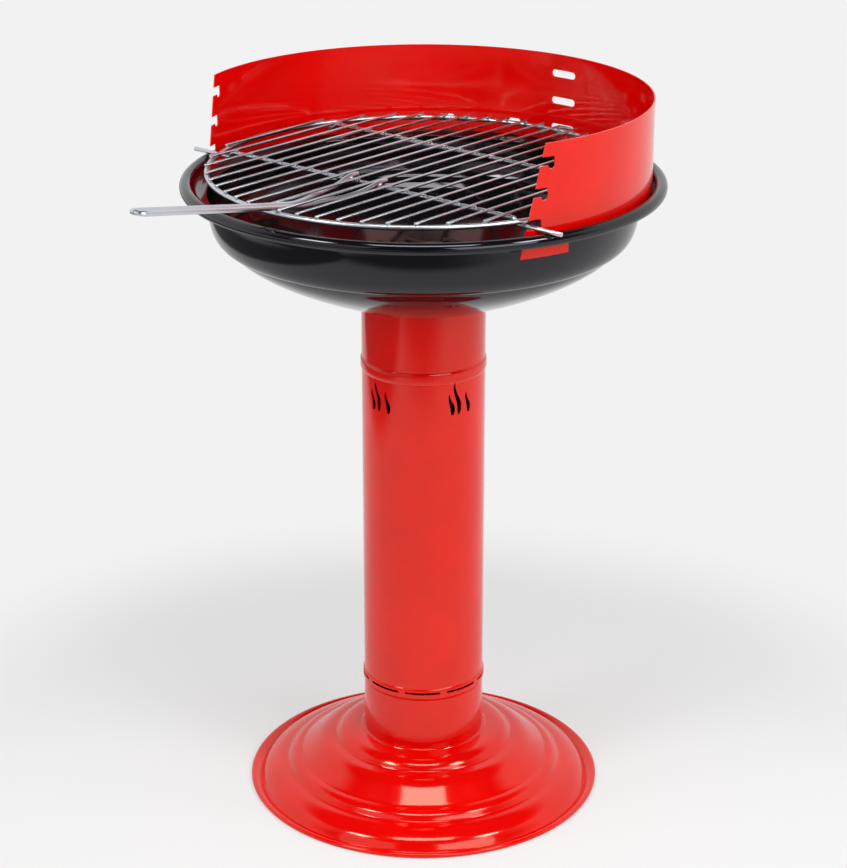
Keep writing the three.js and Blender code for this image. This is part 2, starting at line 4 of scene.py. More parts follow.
import bpy
from bpy.props import FloatProperty, FloatVectorProperty, IntProperty, PointerProperty
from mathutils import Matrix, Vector


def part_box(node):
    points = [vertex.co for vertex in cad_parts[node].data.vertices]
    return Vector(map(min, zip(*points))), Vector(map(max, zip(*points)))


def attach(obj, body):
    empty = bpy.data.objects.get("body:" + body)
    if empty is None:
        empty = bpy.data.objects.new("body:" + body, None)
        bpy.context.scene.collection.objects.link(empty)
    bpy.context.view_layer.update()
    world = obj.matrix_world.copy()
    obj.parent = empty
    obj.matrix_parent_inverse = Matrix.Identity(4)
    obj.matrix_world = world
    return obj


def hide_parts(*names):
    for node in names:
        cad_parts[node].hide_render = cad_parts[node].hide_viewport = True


bl_info = {
    "name": "Pedestal barbecue",
    "version": (1, 0, 0),
    "blender": (4, 5, 0),
    "location": "3D View > Sidebar > Barbecue",
    "description": "Models the pieces of a free-standing charcoal barbecue round its packed frame",
    "category": "Object",
}

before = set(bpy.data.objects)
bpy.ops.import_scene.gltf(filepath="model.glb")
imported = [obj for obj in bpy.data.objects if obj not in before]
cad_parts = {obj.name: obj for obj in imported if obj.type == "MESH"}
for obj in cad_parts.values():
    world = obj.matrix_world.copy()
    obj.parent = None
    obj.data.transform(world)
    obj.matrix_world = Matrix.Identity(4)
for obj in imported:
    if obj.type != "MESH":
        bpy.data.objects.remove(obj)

MM = 0.001
SEAT_GAP = 0.3 * MM
OVERRUN = 6 * MM
ROUND_SIDES = 192
COLUMN_SIDES = 144
BOLT_SIDES = 24
BOLT_COUNT = 3
SMOOTH_WELDED = radians(70)


def middle_of(node):
    """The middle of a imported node's box."""
    low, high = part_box(node)
    return (low + high) / 2


AXIS_Y = middle_of("column_tube").y
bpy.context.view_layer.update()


def linear(code):
    """The linear red, green and blue of an sRGB hex code."""
    parts = [int(code[i:i + 2], 16) / 255 for i in (0, 2, 4)]
    return tuple(c / 12.92 if c <= 0.04045 else ((c + 0.055) / 1.055) ** 2.4 for c in parts)


def size(name, default, description):
    """A length that the user can change, given in millimetres and kept in metres."""
    return FloatProperty(
        name=name, description=description, default=default * MM, subtype="DISTANCE", unit="LENGTH")


def angle(name, default, description):
    """An angle that the user can change, given in degrees."""
    return FloatProperty(
        name=name, description=description, default=radians(default), subtype="ANGLE", unit="ROTATION")


def colour(name, code, description):
    """A colour that the user can change, given as an sRGB hex code."""
    return FloatVectorProperty(
        name=name, description=description, default=linear(code), subtype="COLOR", min=0, max=1)


class BarbecueFinishes(bpy.types.PropertyGroup):
    """Colours of the surfaces."""
    red_enamel: colour("Red enamel", "E90301", "Colour of the base, column and windshield")
    black_enamel: colour("Black enamel", "0B0B0D", "Colour of the bowl")
    # The column's inside is near black as painted shade: it stands in for the dark of the closed tube.
    inside_painted_shade: colour("Inside painted shade", "0A0708", "Colour of the column's inside")
    bright_wire: colour("Bright wire", "D8DCE3", "Colour of the plated cooking grate")
    coal_steel: colour("Coal steel", "5B5652", "Colour of the coal grate")
    zinc: colour("Zinc", "B9BCC0", "Colour of plates, bolts and nuts")


class BaseSizes(bpy.types.PropertyGroup):
    """Sizes of the pressed base."""
    radius: size("Radius", 185, "From the middle to the outside of the rolled lip")
    sheet: size("Sheet", 1.5, "Thickness of the sheet")
    lip_height: size("Lip height", 5, "Height of the rolled lip")
    lip_flat: size("Lip flat", 2.7, "Width of the flat that the lip stands on")
    groove_inset: size("Groove inset", 10.4, "From the lip's outside to the groove behind it")
    groove_height: size("Groove height", 2.1, "Height of the groove behind the lip")
    ledge_height: size("Ledge height", 60.4, "Height of the ledge that carries the column")
    ledge_rise: size("Ledge rise", 1.6, "Rise of the rounded edge of the ledge")
    ledge_width: size("Ledge width", 16.5, "How far the ledge reaches in under the column")
    collar_width: size("Collar width", 2, "How far the ledge stands out round the column")


class ColumnSizes(bpy.types.PropertyGroup):
    """Sizes of the column."""
    radius: size("Radius", 62.5, "Outside radius of the tube")
    height: size("Height", 480.6, "Length of the tube")
    sheet: size("Sheet", 1.2, "Thickness of the tube's wall")
    bead_height: size("Bead height", 13, "Height of each rolled bead")
    bead_swell: size("Bead swell", 1.3, "How far the beads stand proud")
    upper_bead_drop: size("Upper bead drop", 72, "From the bowl down to the upper bead")
    lower_bead_rise: size("Lower bead rise", 61.1, "From the base's ledge up to the lower bead")
    slot_height: size("Air slot height", 2.6, "Height of the slots on the lower bead")
    slot_rise: size("Air slot rise", 1.8, "How far the slots sit above the bead's middle")
    slot_sweep: angle("Air slot sweep", 33, "How far round the tube each slot goes")
    slot_azimuth: angle("Air slot azimuth", 39.9, "Direction of the first slot, from the front")
    slot_count: IntProperty(name="Air slots", description="How many slots go round", default=9)
    flame_drop: size("Flame drop", 111.5, "From the bowl down to the foot of the flame-shaped vents")
    flame_width: size("Flame width", 5.2, "Greatest width of a vent")
    tall_flame: size("Tall flame", 34.5, "Height of the middle vent of a group")
    small_flame: size("Small flame", 22.5, "Height of the outer vents of a group")
    flame_left: size("Flame left", 7.1, "From a group's middle vent to the one on its left")
    flame_right: size("Flame right", 12.6, "From a group's middle vent to the one on its right")
    flame_azimuth: angle("Flame azimuth", -85.7, "Direction of the first group, from the front")
    flame_turn: angle("Flame turn", 80, "Turn from one group to the next")
    flame_groups: IntProperty(name="Flame groups", description="How many groups go round", default=4)


class BowlSizes(bpy.types.PropertyGroup):
    """Sizes of the bowl."""
    sheet: size("Sheet", 1.2, "Thickness of the sheet")
    hole_inset: size("Hole inset", 20.5, "From the column's outside to the hole in the bottom")
    flat_radius: size("Flat radius", 88, "Radius of the flat bottom")
    curve_rise: size("Curve rise", 0.7, "Height of the rounding at the edge of the flat bottom")
    wall_inset: size("Wall inset", 26, "From the rim's outside to the upright wall")
    wall_height: size("Wall height", 104.5, "Height of the wall above the bottom")
    shoulder_rise: size("Shoulder rise", 3.8, "Rise of the shoulder from the wall to the rim")
    shoulder_lift: size("Shoulder lift", 0.9, "Rounding between the wall and the shoulder")
    rim_radius: size("Rim radius", 239, "Outside radius of the rolled rim")
    roll_radius: size("Roll radius", 6.3, "Radius of the roll itself")
    rim_rise: size("Rim rise", 15.6, "From the top of the wall to the top of the rim")
    hem_angle: angle("Hem angle", 40, "How far the roll comes down on the outside")


class WindshieldSizes(bpy.types.PropertyGroup):
    """Sizes of the windshield."""
    inset: size("Inset", 15.7, "From the rim's outside to the sheet's middle")
    sheet: size("Sheet", 1.2, "Thickness of the sheet")
    above_notches: size("Above notches", 12.6, "From the top notch up to the edge")
    lean: angle("Lean", 13.13, "Lean of the ends")
    tab_drop: size("Tab drop", 9.4, "How far the tabs reach below the bowl's shoulder")
    tab_width: size("Tab width", 52.1, "Width of a tab along the sheet")
    slit_play: size("Slit play", 1.2, "Room at the ends of the slits in the bowl")
    levels: IntProperty(name="Levels", description="How many heights the grate has", default=3)
    level_pitch: size("Level pitch", 28.5, "From one height of the grate to the next")
    notch_height: size("Notch height", 8.3, "Height of a notch above its floor")
    notch_corner: size("Notch corner", 2, "Rounding of a notch's inner upper corner")
    pocket_width: size("Pocket width", 7, "Width of the pocket that the bar drops into")
    pocket_depth: size("Pocket depth", 3.4, "Depth of that pocket")
    pocket_inset: size("Pocket inset", 11.4, "From the end's edge to the middle of the pocket")
    rear_slot_width: size("Rear slot width", 30, "Width of the slots for the hook")
    rear_slot_height: size("Rear slot height", 7.5, "Height of the slots for the hook")
    vent_width: size("Vent width", 16, "Width of the small slots")
    vent_height: size("Vent height", 6, "Height of the small slots")
    inner_vent_turn: angle("Inner vent turn", 15.5, "From the back to the inner small slots")
    outer_vent_turn: angle("Outer vent turn", 34.4, "From the back to the outer small slots")


class CookingGrateSizes(bpy.types.PropertyGroup):
    """Sizes of the wire cooking grate."""
    inset: size("Inset", 15.8, "From the windshield to the middle of the ring's wire")
    forward: size("Forward", 6, "How far the grate sits in front of the column's axis")
    ring_wire: size("Ring wire", 5, "Diameter of the ring's wire")
    bar_wire: size("Bar wire", 4.5, "Diameter of the cross bars")
    rod_wire: size("Rod wire", 2.8, "Diameter of the rods")
    hook_wire: size("Hook wire", 4, "Diameter of the rear hook's wire")
    handle_wire: size("Handle wire", 5, "Diameter of the handle's wire")
    bar_offset: size("Bar offset", 76.5, "From the grate's middle to each cross bar")
    rod_count: IntProperty(name="Rods", description="How many rods the grate has", default=20)
    rod_edge_inset: size("Rod edge inset", 11.8, "From the ring to the outermost rods")
    rod_overhang: size("Rod overhang", 2.5, "How far the rods pass the middle of the ring's wire")
    stub_inset: size("Stub inset", 4, "From the rim's outside to the front bar's ends")
    stub_gap: size("Stub gap", 0.4, "From the rim's top to the front bar's ends")
    joggle_length: size("Joggle length", 9.5, "Length of the bend in a cross bar")
    joggle_inset: size("Joggle inset", 5.5, "From the ring to that bend")
    rear_overhang: size("Rear overhang", 3, "How far the rear bar passes the ring")
    hook_width: size("Hook width", 25, "Width over the rear hook")
    hook_corner: size("Hook corner", 5, "Bend radius of the rear hook")
    hook_beyond: size("Hook beyond", 5, "From the windshield to the hook's cross part")
    hook_root: size("Hook root", 10, "From the ring in to the hook's ends")
    handle_reach: size("Handle reach", 384, "From the column's axis to the handle's tip")
    handle_tip_rise: size("Handle tip rise", 42.9, "From the rim's top up to the handle's tip")
    handle_root_half_gap: size("Root half gap", 18.5, "Half the gap between the handle's ends")
    handle_rod_gap: size("Handle rod gap", 0.4, "Room between the handle and the inner rods")
    handle_loop_radius: size("Handle loop radius", 7.3, "Radius of the loop at the tip")
    handle_root_behind: size("Root behind", 7, "How far the handle's ends pass the front bar")
    handle_dip_drop: size("Dip drop", 5.6, "How far the handle dips under the inner rods")
    handle_rise_end: size("Rise end", 2.5, "Where the handle rests on the ring")


class CoalGrateSizes(bpy.types.PropertyGroup):
    """Sizes of the loose coal grate."""
    radius: size("Radius", 115, "Radius of the ring's middle")
    ring_wire: size("Ring wire", 5, "Diameter of the ring's wire")
    rod_wire: size("Rod wire", 4, "Diameter of the rods")
    rod_count: IntProperty(name="Rods", description="How many rods it has", default=9)
    edge_inset: size("Edge inset", 15, "From the ring to the outermost rods")
    overhang: size("Overhang", 2, "How far the rods pass the middle of the ring's wire")


class FastenerSizes(bpy.types.PropertyGroup):
    """Sizes of plates, bolts and nuts."""
    plate: size("Plate", 2.5, "Thickness of the plates")
    shank: size("Shank", 6, "Diameter of the bolts")
    hex_width: size("Hexagon width", 10, "Width across the flats of heads and nuts")
    head_height: size("Head height", 4, "Height of a bolt's head")
    nut_height: size("Nut height", 5, "Height of a nut")
    tail: size("Tail", 2, "How far a bolt passes its nut")
    circle_inset: size("Circle inset", 9, "From the column's outside to the bolts")
    azimuth: angle("Azimuth", 30, "Direction of the first bolt, from the front")


class StudioSizes(bpy.types.PropertyGroup):
    """The floor, the lamps and the camera."""
    floor_size: size("Floor size", 60000, "Width of the floor")
    shadow_reach: size("Shadow reach", 450, "How far from the axis the floor shows its shadows")
    front_edge: size("Front edge", 1450, "How far the paper reaches from the axis to the camera")
    dark_offset: size("Dark offset", 600, "How far left of the camera the room is darkest")
    dark_width: size("Dark width", 1900, "Half width of the dark part of the room")
    screen_near: size("Screen near", 1080, "From the axis to the near side of the screen at the left")
    screen_far: size("Screen far", 1850, "From the axis to the far side of that screen")
    # Painted glow: round the object the paper glows a little, which lightens its shadow
    painted_glow_share: FloatProperty(
        name="Painted glow share", description="Share of painted glow that lightens the paper's shadow round the object", default=0.45)
    sweep_top: angle("Sweep top", 47, "How high the paper behind the object reaches")
    fill: FloatProperty(
        name="Fill", description="Share of the paper's light that the room gives back", default=0.12)
    room: colour("Room", "2E2E30", "Colour of the dim room")
    far_floor: colour("Far floor", "6E6E72", "Colour of the floor beyond the paper")
    backdrop: colour("Backdrop", "F2F2F2", "Colour of the floor and backdrop")
    camera_azimuth: angle("Camera azimuth", 40.8, "Direction of the camera, from the front to the right")
    camera_pitch: angle("Camera pitch", 21.22, "How far the camera looks down")
    camera_distance: size("Camera distance", 2300, "From the column's axis, level with the floor")
    camera_height: size("Camera height", 1281.2, "Height of the camera")
    lens: FloatProperty(
        name="Lens", description="Focal length", default=100.16, subtype="DISTANCE_CAMERA")


GROUPS = {
    "barbecue_finishes": BarbecueFinishes,
    "barbecue_base": BaseSizes,
    "barbecue_column": ColumnSizes,
    "barbecue_bowl": BowlSizes,
    "barbecue_windshield": WindshieldSizes,
    "barbecue_cooking_grate": CookingGrateSizes,
    "barbecue_coal_grate": CoalGrateSizes,
    "barbecue_fasteners": FastenerSizes,
    "barbecue_studio": StudioSizes,
}


# Heights and radii that several pieces share

def levels():
    """Heights and radii that follow from the sizes of more than one piece."""
    scene = bpy.context.scene
    base, column, bowl = scene.barbecue_base, scene.barbecue_column, scene.barbecue_bowl
    shield, grate = scene.barbecue_windshield, scene.barbecue_cooking_grate
    found = {"bowl_bottom": base.ledge_height + column.height}
    found["rim_top"] = found["bowl_bottom"] + bowl.wall_height + bowl.rim_rise
    found["wall_radius"] = bowl.rim_radius - bowl.wall_inset
    found["shield_radius"] = bowl.rim_radius - shield.inset
    found["grate_radius"] = found["shield_radius"] - grate.inset
    found["stub_axis"] = found["rim_top"] + grate.stub_gap + grate.bar_wire / 2
    found["ring_axis"] = found["stub_axis"] + grate.bar_wire / 2 + SEAT_GAP + grate.ring_wire / 2
    found["wire_top"] = found["ring_axis"] + grate.ring_wire / 2
    found["hook_axis"] = found["ring_axis"] - (grate.ring_wire + grate.hook_wire) / 2 - SEAT_GAP
    found["notch_floor"] = found["stub_axis"] - grate.bar_wire / 2 - SEAT_GAP + shield.pocket_depth
    found["notch_roof"] = found["notch_floor"] + shield.notch_height
    found["shoulder"] = found["bowl_bottom"] + bowl.wall_height + bowl.shoulder_lift
    found["shield_foot"] = found["shoulder"] - shield.tab_drop
    found["shield_top"] = (
        found["notch_roof"] + (shield.levels - 1) * shield.level_pitch + shield.above_notches)
    found["grate_y"] = AXIS_Y - grate.forward
    return found


def end_arc(height):
    """Arc from the front to the edge of the windshield's slanted end at a height."""
    scene = bpy.context.scene
    at = levels()
    front_bar = scene.barbecue_cooking_grate.forward + scene.barbecue_cooking_grate.bar_offset
    pocket_arc = at["shield_radius"] * acos(front_bar / at["shield_radius"])
    lean = (height - at["notch_floor"]) * tan(scene.barbecue_windshield.lean)
    return pocket_arc - scene.barbecue_windshield.pocket_inset + lean


# Modelling

def clear_selection():
    """Leaves edit mode and deselects everything."""
    if bpy.context.object and bpy.context.object.mode != "OBJECT":
        bpy.ops.object.mode_set(mode="OBJECT")
    bpy.ops.object.select_all(action="DESELECT")


def select_only(*objects):
    """Selects these objects alone, the first one as the active one."""
    clear_selection()
    for each in objects:
        each.select_set(True)
    bpy.context.view_layer.objects.active = objects[0]


def begin(name):
    """Names the primitive that was just added and puts its place in its mesh."""
    piece = bpy.context.object
    piece.name = piece.data.name = name
    bpy.ops.object.transform_apply(location=True, rotation=True, scale=True)
    return piece


def edit(piece):
    """Opens the piece in edit mode with everything selected."""
    select_only(piece)
    bpy.ops.object.mode_set(mode="EDIT")
    bpy.ops.mesh.select_mode(type="VERT")
    bpy.ops.mesh.select_all(action="SELECT")


def select_where(piece, test):
    """In edit mode, selects the corners whose place passes the test."""
    bpy.ops.mesh.select_mode(type="VERT")
    bpy.ops.mesh.select_all(action="DESELECT")
    bpy.ops.object.mode_set(mode="OBJECT")
    for corner in piece.data.vertices:
        corner.select = bool(test(corner.co))
    bpy.ops.object.mode_set(mode="EDIT")


def leave_edit():
    """Goes back to object mode."""
    bpy.ops.object.mode_set(mode="OBJECT")


def modifier(piece, kind, **settings):
    """Adds a modifier, sets it and applies it."""
    select_only(piece)
    added = piece.modifiers.new(kind.title(), kind)
    for key, value in settings.items():
        setattr(added, key, value)
    bpy.ops.object.modifier_apply(modifier=added.name)


def soften(piece, width, limit=radians(50)):
    """Rounds the sharp edges."""
    modifier(piece, "BEVEL", width=width, segments=2, limit_method="ANGLE", angle_limit=limit)


def turned_sheet(name, line, sheet, sides):
    """A pressed or rolled sheet: rings of edges along a line of (radius, height), then the wall.
    The sheet's thickness lies to the left of the line."""
    clear_selection()
    radius, height = line[0]
    bpy.ops.mesh.primitive_circle_add(
        vertices=sides, radius=radius, location=(0, AXIS_Y, height), rotation=(0, 0, -pi / 2))
    piece = begin(name)
    edit(piece)
    for next_radius, next_height in line[1:]:
        bpy.ops.mesh.extrude_edges_move(
            TRANSFORM_OT_translate={"value": (0, 0, next_height - height)})
        ratio = next_radius / radius
        bpy.ops.transform.resize(
            value=(ratio, ratio, 1), center_override=(0, AXIS_Y, next_height))
        radius, height = next_radius, next_height
    leave_edit()
    modifier(piece, "SOLIDIFY", thickness=sheet, offset=-1, use_even_offset=True)
    edit(piece)
    bpy.ops.mesh.normals_make_consistent(inside=False)
    leave_edit()
    return piece


def curved(start, bend, end, steps):
    """Points of a curve that leaves start towards bend and reaches end from it, without start."""
    points = []
    for i in range(1, steps + 1):
        t = i / steps
        points.append(tuple(
            a * (1 - t) ** 2 + 2 * b * t * (1 - t) + c * t ** 2 for a, b, c in zip(start, bend, end)))
    return points


def smooth_line(points, steps):
    """Points on a soft curve through the given ones."""
    padded = [points[0], *points, points[-1]]
    found = []
    for i in range(len(points) - 1):
        p0, p1, p2, p3 = (Vector(p) for p in padded[i:i + 4])
        for k in range(steps):
            t = k / steps
            found.append(tuple(0.5 * (
                2 * p1 + (p2 - p0) * t + (2 * p0 - 5 * p1 + 4 * p2 - p3) * t ** 2
                + (3 * p1 - p0 - 3 * p2 + p3) * t ** 3)))
    return [*found, tuple(points[-1])]


def between(start, end, shares):
    """The place at these shares of the way from start to end."""
    return tuple(a + (b - a) * share for a, b, share in zip(start, end, shares))


def arc(middle, radius, first, last, steps):
    """Points round a middle from one angle to another, both in radians."""
    turns = [first + (last - first) * i / steps for i in range(steps + 1)]
    return [(middle[0] + radius * cos(t), middle[1] + radius * sin(t)) for t in turns]


def upright(across, along, out):
    """Places a block's corner that is drawn seen from above."""
    return Vector((across, AXIS_Y + along, out))


def facing(azimuth):
    """Places a block's corner that is drawn on the outside of a round wall, seen from outside."""
    outwards = Vector((sin(azimuth), -cos(azimuth), 0))
    sideways = Vector((cos(azimuth), sin(azimuth), 0))

    def place(across, up, out):
        return Vector((0, AXIS_Y, up)) + sideways * across + outwards * out

    return place


def cutting_block(outline, low, high, place):
    """A straight block with this outline, from low to high along the third direction of place."""
    clear_selection()
    bpy.ops.mesh.primitive_circle_add(vertices=len(outline), radius=MM, fill_type="NGON")
    block = begin("cutting_block")
    for corner, (u, v) in zip(block.data.vertices, outline):
        corner.co = place(u, v, low)
    edit(block)
    bpy.ops.mesh.extrude_region_move(
        TRANSFORM_OT_translate={"value": place(0, 0, high) - place(0, 0, low)})
    bpy.ops.mesh.select_all(action="SELECT")
    bpy.ops.mesh.normals_make_consistent(inside=False)
    leave_edit()
    return block


def arc_block(inner, outer, start, end, low, high):
    """A block of flat ring between two radii and two azimuths."""
    steps = max(2, ceil((end - start) / radians(2)))
    turns = [start + (end - start) * i / steps for i in range(steps + 1)]
    outline = [(outer * sin(t), -outer * cos(t)) for t in turns]
    outline += [(inner * sin(t), -inner * cos(t)) for t in reversed(turns)]
    return cutting_block(outline, low, high, upright)


def cut(piece, blocks, crossing=False):
    """Cuts the blocks out of the piece. crossing says that blocks reach into each other."""
    select_only(*blocks)
    if len(blocks) > 1:
        bpy.ops.object.join()
    cutter = bpy.context.object
    modifier(
        piece, "BOOLEAN", operation="DIFFERENCE", object=cutter, solver="EXACT", use_self=crossing)
    bpy.data.objects.remove(cutter)


def rounded_slot(width, height, middle):
    """The outline of a level slot with round ends, about this height."""
    end = height / 2
    half = width / 2 - end
    right = arc((half, middle), end, -pi / 2, pi / 2, 10)
    left = arc((-half, middle), end, pi / 2, 3 * pi / 2, 10)
    return right + left


def mirrored(outline):
    """The outline turned over from left to right."""
    return [(-u, v) for u, v in reversed(outline)]


def wire(name, points, diameter, closed=False, smooth=True, sides=16):
    """A bent wire along the points, with rounded ends."""
    clear_selection()
    curve = bpy.data.curves.new(name, "CURVE")
    curve.dimensions = "3D"
    spline = curve.splines.new("BEZIER" if smooth else "POLY")
    knots = spline.bezier_points if smooth else spline.points
    knots.add(len(points) - 1)
    for knot, place in zip(knots, points):
        knot.co = place if smooth else (*place, 1)
        if smooth:
            knot.handle_left_type = knot.handle_right_type = "AUTO"
    spline.use_cyclic_u = closed
    curve.resolution_u = 8
    curve.bevel_depth = diameter / 2
    curve.bevel_resolution = sides // 4 - 1
    curve.use_fill_caps = not closed
    piece = bpy.data.objects.new(name, curve)
    bpy.context.collection.objects.link(piece)
    select_only(piece)
    bpy.ops.object.convert(target="MESH")
    piece = bpy.context.object
    edit(piece)
    bpy.ops.mesh.remove_doubles(threshold=0.01 * MM)
    bpy.ops.mesh.normals_make_consistent(inside=False)
    leave_edit()
    if not closed:
        soften(piece, diameter * 0.12, radians(60))
    return piece


def wire_ring(name, radius, diameter, middle):
    """A closed round of wire."""
    clear_selection()
    bpy.ops.mesh.primitive_torus_add(
        location=middle, major_segments=ROUND_SIDES, minor_segments=20,
        major_radius=radius, minor_radius=diameter / 2)
    return begin(name)


def straight_wire(name, diameter, length, middle, along):
    """A straight wire whose cut ends are rounded over. along is X or Y."""
    turn = (pi / 2, 0, 0) if along == "Y" else (0, pi / 2, 0)
    clear_selection()
    bpy.ops.mesh.primitive_cylinder_add(
        vertices=16, radius=diameter / 2, depth=length, location=middle, rotation=turn)
    piece = begin(name)
    soften(piece, diameter * 0.14, radians(60))
    return piece


def weld_blob(place, size_xyz):
    """The melted spot where two wires were pressed together by resistance welding."""
    clear_selection()
    bpy.ops.mesh.primitive_uv_sphere_add(
        segments=8, ring_count=5, radius=0.5, location=place)
    blob = bpy.context.object
    blob.scale = size_xyz
    return begin("weld_blob")


def join_all(pieces):
    """Joins the pieces into the first one."""
    select_only(*pieces)
    bpy.ops.object.join()
    return bpy.context.object


def copy_of(piece, name):
    """A copy with a mesh of its own."""
    select_only(piece)
    bpy.ops.object.duplicate(linked=False)
    copy = bpy.context.object
    copy.name = copy.data.name = name
    return copy


def welded_rod(model, blob, name, along, shorter, offsets):
    """A copy of the model rod, made shorter at both ends, with a weld at each offset along it."""
    rod = copy_of(model, name)
    middle = sum((corner.co for corner in rod.data.vertices), Vector()) / len(rod.data.vertices)
    for side in (1, -1):
        edit(rod)
        select_where(rod, lambda co: (co - middle).dot(along) * side > 0)
        bpy.ops.transform.translate(value=along * -side * shorter)
        leave_edit()
    welds = []
    for offset in offsets:
        weld = copy_of(blob, "weld")
        move(weld, along * offset)
        welds.append(weld)
    return join_all([rod, *welds])


def move(piece, offset):
    """Moves the mesh, so that the object stays at the origin."""
    edit(piece)
    bpy.ops.transform.translate(value=offset)
    leave_edit()


def dress(piece, body, nodes, finish, smooth=radians(35)):
    """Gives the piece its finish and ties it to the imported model."""
    piece.data.materials.clear()
    piece.data.materials.append(finish)
    select_only(piece)
    bpy.ops.object.shade_smooth_by_angle(angle=smooth)
    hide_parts(*nodes)
    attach(piece, body)


def numbered(name, i):
    """The name with a number that starts at 01."""
    return f"{name}_{i + 1:02d}"


# Materials

def material(name):
    """A new material and its main shader."""
    made = bpy.data.materials.new(name)
    made.use_nodes = True
    return made, made.node_tree.nodes["Principled BSDF"]


def node(tree, kind, settings=None, stops=(), **links):
    """Adds a node, sets its inputs and properties, and links sockets to its inputs, by name or, in
    settings, by number. stops are the (place, colour) pairs of a colour ramp."""
    added = tree.nodes.new(kind)
    for key, value in (settings or {}).items():
        if isinstance(value, bpy.types.NodeSocket):
            tree.links.new(value, added.inputs[key])
        elif isinstance(key, int) or key in added.inputs:
            added.inputs[key].default_value = value
        else:
            setattr(added, key, value)
    for i, (place, shade) in enumerate(stops):
        ramp = added.color_ramp.elements
        stop = ramp[i] if i < 2 else ramp.new(place)
        stop.position = place
        stop.color = (*shade, 1)
    for key, source in links.items():
        tree.links.new(source, added.inputs[key.replace("_", " ")])
    return added


def tinted(shade, factor):
    """The colour made darker or paler."""
    return tuple(min(1, c * factor) for c in shade)


def patterned(name, patterns, colours, roughness, bumps=()):
    """A material drawn from noise. patterns gives each noise its scale per metre and its detail,
    colours the noise and stops of the colour, roughness a noise and its least and greatest value,
    and bumps a noise, strength and depth each, coarse ones first."""
    made, shader = material(name)
    tree = made.node_tree
    place = node(tree, "ShaderNodeTexCoord").outputs["Object"]
    noise = {}
    for key, (scale, detail) in patterns.items():
        added = node(tree, "ShaderNodeTexNoise", {"Scale": scale, "Detail": detail}, Vector=place)
        noise[key] = added.outputs["Fac"]
    key, stops = colours
    ramp = node(tree, "ShaderNodeValToRGB", stops=stops, Fac=noise[key])
    tree.links.new(ramp.outputs["Color"], shader.inputs["Base Color"])
    key, least, most = roughness
    rough = node(tree, "ShaderNodeMapRange", {"To Min": least, "To Max": most}, Value=noise[key])
    tree.links.new(rough.outputs["Result"], shader.inputs["Roughness"])
    below = {}
    for key, strength, depth in bumps:
        bump = node(
            tree, "ShaderNodeBump", {"Strength": strength, "Distance": depth}, Height=noise[key], **below)
        below = {"Normal": bump.outputs["Normal"]}
        tree.links.new(bump.outputs["Normal"], shader.inputs["Normal"])
    return shader


def enamel(name, shade, roughness, reflection=(1, 1, 1)):
    """Vitreous enamel, glass frit sprayed on and fired: deep colour under a hard, clear gloss,
    with the faint long waves of a fired glaze and slightly uneven colour. reflection tints the
    gloss, to match the photo: it is warm on the red and faintly cool on the black."""
    # Thicker and thinner glaze in patches of about 60 mm, waves about 25 mm long, a peel of about 3 mm
    shader = patterned(
        name, {"patches": (17, 3), "waves": (40, 1), "peel": (330, 2)},
        ("patches", [(0.3, tinted(shade, 0.93)), (0.7, tinted(shade, 1.05))]),
        ("peel", roughness * 0.8, roughness * 1.3),
        [("waves", 0.35, 0.12 * MM), ("peel", 0.2, 0.004 * MM)])
    shader.inputs["IOR"].default_value = 1.52
    shader.inputs["Specular Tint"].default_value = (*reflection, 1)


def plated_wire(name, shade):
    """Cold-drawn steel wire with bright chromium plating: mirror-like, slightly streaked,
    a little cloudy where the plating is thin."""
    # Cloudy patches of about 20 mm, and drawing marks about 0.6 mm apart
    shader = patterned(
        name, {"clouds": (50, 3), "marks": (1600, 2)},
        ("clouds", [(0.3, tinted(shade, 0.86)), (0.7, shade)]), ("clouds", 0.22, 0.36),
        [("marks", 0.15, 0.005 * MM)])
    shader.inputs["Metallic"].default_value = 1


def scaled_steel(name, shade):
    """Bare mild steel wire darkened by heat: grey scale with brown patches, dull."""
    # Heat colours in patches of about 30 mm, and scale flakes of about 2 mm
    shader = patterned(
        name, {"heat": (33, 2), "flakes": (500, 4)},
        ("heat", [(0.3, tinted(shade, 0.5)), (0.55, shade), (0.75, linear("6B4A35"))]),
        ("flakes", 0.4, 0.75), [("flakes", 0.5, 0.08 * MM)])
    shader.inputs["Metallic"].default_value = 0.85


def zinc_plate(name, shade):
    """Electroplated zinc on rolled steel: pale, satin, with a faint mottle."""
    # Mottle of about 4 mm
    shader = patterned(
        name, {"mottle": (250, 3)}, ("mottle", [(0.3, tinted(shade, 0.8)), (0.7, shade)]),
        ("mottle", 0.28, 0.45))
    shader.inputs["Metallic"].default_value = 1


def finishes():
    """The materials of the object, made once."""
    if "red vitreous enamel" not in bpy.data.materials:
        colours = bpy.context.scene.barbecue_finishes
        enamel("red vitreous enamel", tuple(colours.red_enamel), 0.1, (1, 1, 0.75))
        enamel("black vitreous enamel", tuple(colours.black_enamel), 0.07, (0.92, 0.9, 1))
        # Near black as painted shade for the inside of the closed column
        enamel("dark inside painted shade enamel", tuple(colours.inside_painted_shade), 0.35)
        plated_wire("bright chromium plated wire", tuple(colours.bright_wire))
        scaled_steel("heat darkened steel wire", tuple(colours.coal_steel))
        zinc_plate("zinc plated steel", tuple(colours.zinc))
    return bpy.data.materials


# Pieces

def bolt_places():
    """Where the three bolts stand, from the column's axis."""
    sizes = bpy.context.scene.barbecue_fasteners
    radius = bpy.context.scene.barbecue_column.radius - sizes.circle_inset
    turns = [sizes.azimuth + 2 * pi * i / BOLT_COUNT for i in range(BOLT_COUNT)]
    return [(radius * sin(t), -radius * cos(t)) for t in turns]


def bolt_hole(x, y, low, high):
    """A cutter for a bolt's hole through what lies from low to high."""
    radius = bpy.context.scene.barbecue_fasteners.shank / 2 + SEAT_GAP
    last = BOLT_SIDES - 1
    outline = arc((x, y), radius, 0, 2 * pi * last / BOLT_SIDES, last)
    return cutting_block(outline, low - OVERRUN, high + OVERRUN, upright)


